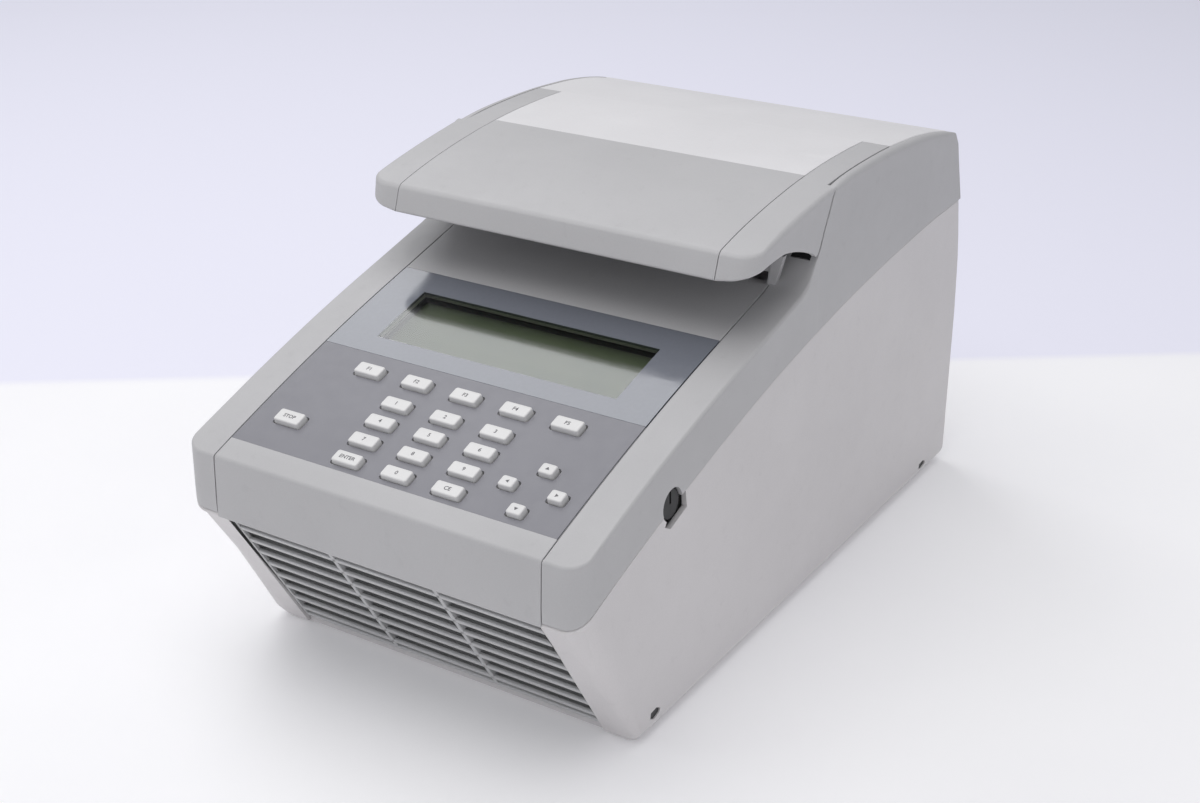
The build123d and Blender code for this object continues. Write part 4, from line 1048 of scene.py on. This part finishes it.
CX, PIT = 2.6, 30.35
KEYS = []
for i, nm in enumerate(("f1", "f2", "f3", "f4", "f5")):
    KEYS.append((nm, CX + (i - 2) * PIT, 65.0, 16.0, 8.0, nm.upper()))
for row, s_ in ((("1", "2", "3"), 47.8), (("4", "5", "6"), 34.2), (("7", "8", "9"), 20.6),
                (("enter", "0", "clear"), 7.0)):
    for c_, nm in enumerate(row):
        KEYS.append((nm, CX + (c_ - 1) * PIT, s_, 16.0, 7.6, {"enter": "ENTER", "clear": "CE"}.get(nm, nm)))
KEYS.append(("stop", -75.8, 20.8, 16.0, 8.4, "STOP"))
KEYS += [("up", 71.6, 34.9, 8.4, 6.8, "^"), ("left", 57.7, 21.3, 8.4, 6.8, "<"),
         ("right", 85.4, 21.3, 8.4, 6.8, ">"), ("down", 71.6, 7.5, 8.4, 6.8, "v")]


def key_cutters(grow, z0, z1):
    cs = []
    for nm, x, s_, w, h, lab in KEYS:
        f = on_slope(x, s_)
        loop = rrect(w + grow + 1.5, h + grow, 1.6)
        bmk = bmesh.new()
        add_rings(bmk, [[f((a, b, z0)) for a, b in loop], [f((a, b, z1)) for a, b in loop]])
        bmesh.ops.recalc_face_normals(bmk, faces=bmk.faces)
        me = bpy.data.meshes.new("kc")
        bmk.to_mesh(me)
        bmk.free()
        o = bpy.data.objects.new("kc", me)
        bpy.context.collection.objects.link(o)
        cs.append(o)
    return cs


def join(objs):
    bmj = bmesh.new()
    for o in objs:
        bmj.from_mesh(o.data)
    me = bpy.data.meshes.new("joined")
    bmj.to_mesh(me)
    bmj.free()
    out = bpy.data.objects.new("joined", me)
    bpy.context.collection.objects.link(out)
    for o in objs:
        m_ = o.data
        bpy.data.objects.remove(o)
        bpy.data.meshes.remove(m_)
    return out


LCD_X, LCD_W = 0.2, 148.6
LS0, LS1 = 90.8, 133.2


def slab_cut(x0, x1, s0, s1, z0, z1):
    f0, f1 = on_slope(0, s0), on_slope(0, s1)
    bmk = bmesh.new()
    rings = []
    for x in (x0, x1):
        r = []
        for f, z in ((f0, z0), (f1, z0), (f1, z1), (f0, z1)):
            q = f((0, 0, z))
            r.append((x, q[1], q[2]))
        rings.append(r)
    add_rings(bmk, rings)
    bmesh.ops.recalc_face_normals(bmk, faces=bmk.faces)
    me = bpy.data.meshes.new("sc")
    bmk.to_mesh(me)
    bmk.free()
    o = bpy.data.objects.new("sc", me)
    bpy.context.collection.objects.link(o)
    return o


slots = []
for sg in (1, -1):
    a, b = sorted((sg * 86.8, sg * 96.6))
    slots.append(cutter_x("slot", [(207.0, 182.6), (207.0, 188.4), (219.0, 188.4), (219.0, 182.6)], a, b))
boolean(cpo, [join(key_cutters(0.8, -8, 3) + slots + [slab_cut(LCD_X - LCD_W / 2, LCD_X + LCD_W / 2, LS0, LS1, -8, 3)])])
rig.ride(cpo, "housing")
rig.replaces(cpo, "control_panel")
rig.slot(cpo, "grey_shell")

# keypad overlay: thin printed film with rounded key apertures
bm = bmesh.new()
ov = run(OV0 + 0.05, OV1 - 0.1, 0.0)
ovb = list(reversed(run(OV0 + 0.05, OV1 - 0.1, 0.6)))
sweep_x(bm, clockwise(ov + ovb), -98.45, 98.45, edge=0.15, n=24)
ovo = finish_mesh("keypad_film", bm, [OVER], None)
boolean(ovo, [join(key_cutters(0.9, -3, 3))])
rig.ride(ovo, "housing")
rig.replaces(ovo, "keypad_overlay")
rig.slot(ovo, "overlay_film")

# display window: printed border and clear pane in one glossy sheet
bm = bmesh.new()
y0w, y1w = OV1 + 0.1, WI1
ya, yb = slope_point(LS0)[0], slope_point(LS1)[0]
xst = [-98.45, LCD_X - LCD_W / 2 + 0.3, LCD_X + LCD_W / 2 - 0.3, 98.45]
ysl = sorted(set([y0w, ya + 0.3, yb - 0.3, y1w] + [q[0] for q in slope_d if y0w + 1 < q[0] < y1w - 1
                                                  and abs(q[0] - ya) > 0.8 and abs(q[0] - yb) > 0.8]))
top = offset([(y, ZS(y)) for y in ysl], 0.02)
bot = offset([(y, ZS(y)) for y in ysl], 0.8)
grid_t = [[bm.verts.new(to_m((x, *q))) for q in top] for x in xst]
for i in range(3):
    for j in range(len(ysl) - 1):
        f = bm.faces.new((grid_t[i][j], grid_t[i + 1][j], grid_t[i + 1][j + 1], grid_t[i][j + 1]))
        inside = i == 1 and ya + 0.2 < ysl[j] < yb - 0.4
        f.material_index = 1 if inside else 0
# rim of the sheet
ring_t = [grid_t[i][0] for i in range(4)] + [grid_t[3][j] for j in range(1, len(ysl))] \
    + [grid_t[i][-1] for i in (2, 1, 0)] + [grid_t[0][j] for j in range(len(ysl) - 2, 0, -1)]
low = []
for v in ring_t:
    low.append(bm.verts.new((v.co.x, v.co.y + 0.0002, v.co.z - 0.0008)))
for k in range(len(ring_t)):
    a, b2 = ring_t[k], ring_t[(k + 1) % len(ring_t)]
    c2, d2 = low[(k + 1) % len(ring_t)], low[k]
    bm.faces.new((a, b2, c2, d2))
# printed frame edge seen through the pane
fa, fb = None, None
inner = []
for (x, y) in ((xst[1], ya + 0.3), (xst[2], ya + 0.3), (xst[2], yb - 0.3), (xst[1], yb - 0.3)):
    inner.append((x, y))
pi = [bm.verts.new(to_m((x, y, ZS(y) - 0.05))) for x, y in inner]
po = [bm.verts.new(to_m((x, y + 0.25, ZS(y) - 1.4))) for x, y in inner]
for k in range(4):
    bm.faces.new((pi[k], pi[(k + 1) % 4], po[(k + 1) % 4], po[k]))
wo = finish_mesh("display_sheet", bm, [PRINT, PANE], "housing", weighted=False)
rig.replaces(wo, "display_window")
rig.slot(wo, "window_film")


# ---------------------------------------------------------------------------
# keys with drafted, crowned caps and printed legends
# ---------------------------------------------------------------------------
def key_mesh(nm, x, s_, w, h):
    f = on_slope(x, s_)
    bm = bmesh.new()
    rings = []

    def lev(z, g, r):
        rings.append([f((a, b, z)) for a, b in rrect(w + 2 * g, h + 2 * g, max(0.3, r))])
    lev(-4.5, 0.2, 1.4)
    lev(-3.3, 0.2, 1.4)
    lev(-3.2, 0.0, 1.3)
    lev(0.0, 0.0, 1.3)
    H = 2.8
    rt = 0.75
    lev(H - rt, -0.14, 1.3)
    for a in (20, 40, 60, 80):
        t = math.radians(a)
        d = rt * (1 - math.cos(t))
        lev(H - rt * (1 - math.sin(t)), -0.14 - d, 1.3 - d * 0.6)
    lev(H - 0.0, -0.14 - rt, 0.85)
    lev(H - 0.05, -0.14 - rt - 0.5, 0.7)
    lev(H - 0.10, -0.14 - rt - 1.3, 0.5)
    add_rings(bm, rings)
    ob = finish_mesh("cap_" + nm, bm, [KEYM], None, angle=50)
    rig.ride(ob, "button_" + nm)
    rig.replaces(ob, "key_" + nm)
    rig.slot(ob, "key_plastic")
    return f


def text_mesh(nm, body, size, place, mat, rider, squeeze=1.0):
    cu = bpy.data.curves.new(nm, "FONT")
    cu.body = body
    cu.size = size
    cu.align_x = "CENTER"
    cu.align_y = "CENTER"
    cu.resolution_u = 3
    cu.offset = 0.05
    ob = bpy.data.objects.new(nm, cu)
    bpy.context.collection.objects.link(ob)
    dg = bpy.context.evaluated_depsgraph_get()
    me = bpy.data.meshes.new_from_object(ob.evaluated_get(dg))
    bpy.data.objects.remove(ob)
    bpy.data.curves.remove(cu)
    for v in me.vertices:
        q = place((v.co.x * squeeze, v.co.y, 0.0))
        v.co = to_m(q)
    ob = bpy.data.objects.new(nm, me)
    bpy.context.collection.objects.link(ob)
    me.materials.clear()
    me.materials.append(mat)
    # thin ink layer with a little body
    sol = ob.modifiers.new("ink", "SOLIDIFY")
    sol.thickness = 0.00004
    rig.ride(ob, rider)
    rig.slot(ob, "overlay_film")
    return ob


def arrow_mesh(nm, kind, place, mat, rider):
    bm = bmesh.new()
    pts = {"^": [(-1.1, -0.7), (1.1, -0.7), (0, 1.0)], "v": [(-1.1, 0.7), (0, -1.0), (1.1, 0.7)],
           "<": [(0.7, -1.0), (0.7, 1.0), (-1.0, 0)], ">": [(-0.7, -1.0), (1.0, 0), (-0.7, 1.0)]}[kind]
    add_rings(bm, [[place((a, b, 0.0)) for a, b in pts], [place((a, b, 0.04)) for a, b in pts]])
    ob = finish_mesh(nm, bm, [mat], None, weighted=False)
    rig.ride(ob, rider)
    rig.slot(ob, "overlay_film")
    return ob


for nm, x, s_, w, h, lab in KEYS:
    f = key_mesh(nm, x, s_, w, h)
    g = (lambda f: (lambda p: f((p[0], p[1], 2.73 + p[2]))))(f)
    if lab in "^v<>":
        arrow_mesh("legend_" + nm, lab, g, INK, "button_" + nm)
    else:
        size = 2.6 if len(lab) < 3 else 2.5
        text_mesh("legend_" + nm, lab, size * 1.25, g, INK, "button_" + nm)


# ---------------------------------------------------------------------------
# lid: front cover, roof cover, side strips
# ---------------------------------------------------------------------------
roof_d = dense(LID_TOP + LID_REAR[1:], 4.0)
ZR = zof(roof_d)
SPLIT = 246.0


def roof(y0, y1, d=0.0):
    base = [q for q in roof_d if y0 + 0.9 < q[0] < y1 - 0.9]
    ends = [(y, ZR(y)) for y in (y0, y0 + 0.3, y1 - 0.3, y1)]
    return offset(ends[:2] + base + ends[2:], d)


LX = SEAM - 0.36
def strip_rings():
    R = 13.0
    lean = (158.3 - 153.8) / (217.5 - 205.6)
    y0 = 153.8
    SKIRT = [(160, 209.3), (168, 209.8), (177.3, 210.5), (185, 210.6), (193, 209.3),
             (202.7, 206.4), (212.7, 202.4), (219.2, 199.3)]
    seam = [(y - 1.3, z + 0.7) for y, z in dense(LID_SEAM, 3)]
    zb_0 = zof(dense(SKIRT, 3)[:-1] + [q for q in seam if q[0] > 219.6])
    zb_s = lambda y: min(zb_0(y), ZR(y) - 1.8)
    xs = SEAM + 0.02
    cols = []
    for x in (xs, xs + 0.35, xs + 3.0, xs + 5.5, HW - R):
        cols.append((x, y0, 0.0, -1.0))
    for k in range(1, 15):
        a = math.radians(-90 + 90 * k / 14)
        cols.append((HW - R + R * math.cos(a), y0 + R + R * math.sin(a), math.cos(a), math.sin(a)))
    nf = len(cols)
    rings = []
    for i, (x, y, nx, ny) in enumerate(cols):
        w = -ny
        f = i / (nf - 1)
        p = (lambda x, y, w: (lambda z: (x, y + lean * (z - 205.6) * w)))(x, y, w)
        top_f, drop = ZR, 0.35
        if i == 0:
            p = (lambda x, y, w: (lambda z: (x, y + 0.18 + lean * (z - 205.6) * w)))(x, y, w)
            top_f, drop = (lambda yy: ZR(yy) - 0.18), 0.17
        rt = 1.9
        if i < 5:
            zbf = (lambda k: (lambda yy: 203.8 + 1.2 * k))((x - xs) / (HW - R - xs))
        else:
            zbf = (lambda k: (lambda yy: 205.0 + 4.75 * k ** 1.1))((i - 4) / 14)
        ys0 = 158.3 + 2.6
        sy = ys0 + (y0 + R - ys0) * f
        rings.append(shell_ring(p, (nx, ny), zbf, top_f, rt, 1.4, seam=(xs, sy), nw=5, se=drop))
    ys = [q[0] for q in roof_d if y0 + R + 1 < q[0] < 219] + [219.3, 221.0, 223.0, 225.5, 228, 230.5, 233, 235, 237, 238.4, 239.2]
    for y in ys:
        p = (lambda y: (lambda z: (HW, y)))(y)
        rt = float(np.interp(y, [167, 188, 210, 225, 236, 239.2], [1.9, 2.8, 2.8, 2.6, 2.2, 1.8]))
        rb = float(np.interp(y, [165, 214, 219.3, 240], [1.4, 1.2, 0.4, 0.3]))
        rings.append(shell_ring(p, (1.0, 0.0), zb_s, ZR, rt, rb, seam=(xs, y), nw=5, low=2.6))
    return rings


RS = strip_rings()
front = [(q[1], q[2]) for q in RS[1][:17]]
fc = front + roof(front[-1][0] + 0.6, SPLIT) + list(reversed(roof(160.0, SPLIT, 2.5))) \
    + [(160.4, 214.0), (157.6, 206.4), (162.0, 206.2), (162.0, 203.8)]
bm = bmesh.new()
sweep_x(bm, clockwise(fc), -LX, LX, edge=0.2, n=10)
lf = finish_mesh("lid_nose_cover", bm, [GREY], "lid")
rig.replaces(lf, "lid_front_cover")
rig.slot(lf, "grey_shell")

bm = bmesh.new()
sweep_x(bm, clockwise(roof(SPLIT, 312.0) + list(reversed(roof(SPLIT, 312.0, 2.5)))), -LX, LX, edge=0.35, n=10)
HY, HZ = 384.0, 208.0
HR = 218.4 - HZ
brl = [(HY + HR * math.sin(math.radians(a)), HZ + HR * math.cos(math.radians(a))) for a in range(6, 94, 6)]
bri = [(HY + (HR - 2.3) * math.sin(math.radians(a)), HZ + (HR - 2.3) * math.cos(math.radians(a))) for a in range(90, -6, -6)]
wide = roof(312.0, 384.0) + brl + bri + list(reversed(roof(312.0, 380.0, 2.4)))
sweep_x(bm, clockwise(wide), -115.1, 115.1, edge=0.9, n=10)
lt = finish_mesh("lid_roof_cover", bm, [CREAM], "lid")
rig.replaces(lt, "lid_top_cover")
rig.slot(lt, "cream_shell")


for side, sgn in (("right", 1), ("left", -1)):
    bm = bmesh.new()
    add_rings(bm, RS if sgn > 0 else flip_rings(RS))
    a, b = sorted((sgn * (SEAM + 0.02), sgn * 114.75))
    sweep_x(bm, clockwise(roof(238.7, 311.7, 0.02) + list(reversed(roof(238.7, 311.7, 2.4)))), a, b, edge=0.3, n=1)
    flr = [(241.0, 205.0), (241.0, 229.0)] + roof(243.0, 311.6, 1.0) + [(311.6, 205.0)]
    a, b = sorted((sgn * 112.6, sgn * 114.7))
    sweep_x(bm, clockwise(flr), a, b, edge=0.2, n=1)
    so = finish_mesh("lid_side_strip_" + side, bm, [GREY], "lid")
    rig.replaces(so, "lid_strip_" + side)
    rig.slot(so, "grey_shell")


# ---------------------------------------------------------------------------
# springs behind the heated plate: they shorten as the plate moves in
# ---------------------------------------------------------------------------
bm = bmesh.new()
for cx, cy in ((-46.0, 247.0), (-46.0, 307.0), (46.0, 247.0), (46.0, 307.0)):
    coil = []
    for k in range(97):
        t = 2 * math.pi * k / 24
        zc = 206.27 + 10.64 * k / 96
        coil.append([(cx + (4.6 + 0.55 * math.cos(u)) * math.cos(t),
                      cy + (4.6 + 0.55 * math.cos(u)) * math.sin(t),
                      zc + 0.55 * math.sin(u)) for u in [2 * math.pi * j / 8 for j in range(8)]])
    add_rings(bm, coil)
coils = finish_mesh("pressing_springs", bm, [SPRING], "plate", weighted=False)
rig.replaces(coils, "plate_springs")
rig.slot(coils, "spring_steel")
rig.squash(coils, "plate_press", axis=(0, 0, 1), anchor=(0.0, 0.073, 0.20572), keep=0.655)


# ---------------------------------------------------------------------------
# stage, light, camera
# ---------------------------------------------------------------------------
def floor_mat():
    m, nt, b = new_mat("bench")
    tc = nt.nodes.new("ShaderNodeTexCoord")
    n = noise(nt, tc.outputs["Object"], 6.0, 4.0)
    f = noise(nt, tc.outputs["Object"], 900.0, 2.0)
    col = mixc(nt, ramp(nt, n, 0.3, 0.7, 0, 1), (0.895, 0.89, 0.905), (0.925, 0.92, 0.93))
    # the bench turns slightly bluer and darker a little way behind
    sep = nt.nodes.new("ShaderNodeSeparateXYZ")
    nt.links.new(tc.outputs["Object"], sep.inputs[0])
    a = nt.nodes.new("ShaderNodeMath")
    a.operation = "MULTIPLY"
    a.inputs[1].default_value = -0.5592
    nt.links.new(sep.outputs["X"], a.inputs[0])
    c = nt.nodes.new("ShaderNodeMath")
    c.operation = "MULTIPLY_ADD"
    c.inputs[1].default_value = 0.829
    nt.links.new(sep.outputs["Y"], c.inputs[0])
    nt.links.new(a.outputs[0], c.inputs[2])
    back = ramp(nt, c.outputs[0], 0.244, 0.256, 0, 1)
    col = mixc(nt, back, col, (0.79, 0.785, 0.90))
    nt.links.new(col, b.inputs["Base Color"])
    b.inputs["Roughness"].default_value = 0.55
    b.inputs["Specular IOR Level"].default_value = 0.3
    b.inputs["Emission Color"].default_value = (0.97, 0.97, 1.0, 1)
    b.inputs["Emission Strength"].default_value = 0.12
    bp = nt.nodes.new("ShaderNodeBump")
    bp.inputs["Strength"].default_value = 0.04
    bp.inputs["Distance"].default_value = 0.0003
    nt.links.new(f, bp.inputs["Height"])
    nt.links.new(bp.outputs[0], b.inputs["Normal"])
    return m


me = bpy.data.meshes.new("bench")
S = 6.0
me.from_pydata([(-S, -S, 0), (S, -S, 0), (S, S, 0), (-S, S, 0)], [], [(0, 1, 2, 3)])
bench = bpy.data.objects.new("bench", me)
bpy.context.collection.objects.link(bench)
me.materials.append(floor_mat())
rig.stage(bench)

world = bpy.data.worlds.new("studio")
bpy.context.scene.world = world
world.use_nodes = True
bg = world.node_tree.nodes["Background"]
bg.inputs[0].default_value = (0.93, 0.95, 1.0, 1)
bg.inputs[1].default_value = 0.37


def area(name, loc, target, size, power, color=(1, 1, 1)):
    L = bpy.data.lights.new(name, "AREA")
    L.shape = "RECTANGLE"
    L.size, L.size_y = size
    L.energy = power
    L.color = color
    o = bpy.data.objects.new(name, L)
    bpy.context.collection.objects.link(o)
    o.location = loc
    d = Vector(target) - Vector(loc)
    o.rotation_euler = d.to_track_quat("-Z", "Y").to_euler()
    return o


area("overhead", (-0.15, -0.3, 2.0), (0, 0, 0.1), (2.2, 2.0), 22.0, (1.0, 0.99, 0.985))
area("left_high", (-1.5, 0.9, 1.9), (0, 0, 0.12), (1.2, 1.2), 9.5, (0.98, 0.985, 1.0))
area("front_fill", (0.6, -2.0, 1.2), (0, 0, 0.1), (1.6, 1.2), 2.4, (1.0, 0.99, 0.98))
area("left_front", (-1.7, -1.1, 0.9), (0, 0.05, 0.1), (1.4, 1.0), 3.6, (0.99, 0.99, 1.0))
area("right_fill", (1.9, -0.3, 1.1), (0, 0, 0.1), (1.4, 1.2), 3.0, (1.0, 0.99, 0.99))

a_, b_, c_ = math.radians(34.002), math.radians(25.624), math.radians(-1.421)
fwd = Vector((-math.sin(a_) * math.cos(b_), math.cos(a_) * math.cos(b_), -math.sin(b_)))
right = Vector((math.cos(a_), math.sin(a_), 0.0))
up = right.cross(fwd)
r2 = right * math.cos(c_) + up * math.sin(c_)
u2 = -right * math.sin(c_) + up * math.cos(c_)
cam = bpy.data.cameras.new("camera")
cam.sensor_width = 36.0
cam.sensor_fit = "HORIZONTAL"
cam.lens = 1850.52 * 36.0 / 1200.0
cam.clip_start = 0.01
co = bpy.data.objects.new("camera", cam)
bpy.context.collection.objects.link(co)
C = (0.51551, -0.76936, 0.53874)
co.matrix_world = Matrix(((r2.x, u2.x, -fwd.x, C[0]), (r2.y, u2.y, -fwd.y, C[1]),
                          (r2.z, u2.z, -fwd.z, C[2]), (0, 0, 0, 1)))
bpy.context.scene.camera = co
bpy.context.scene.view_settings.view_transform = "Standard"

VIS_BOX = [[float(v) for v in c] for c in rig.bounds()]
json.dump({"cad": CAD_BOX, "visual": VIS_BOX}, open("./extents.json", "w"))
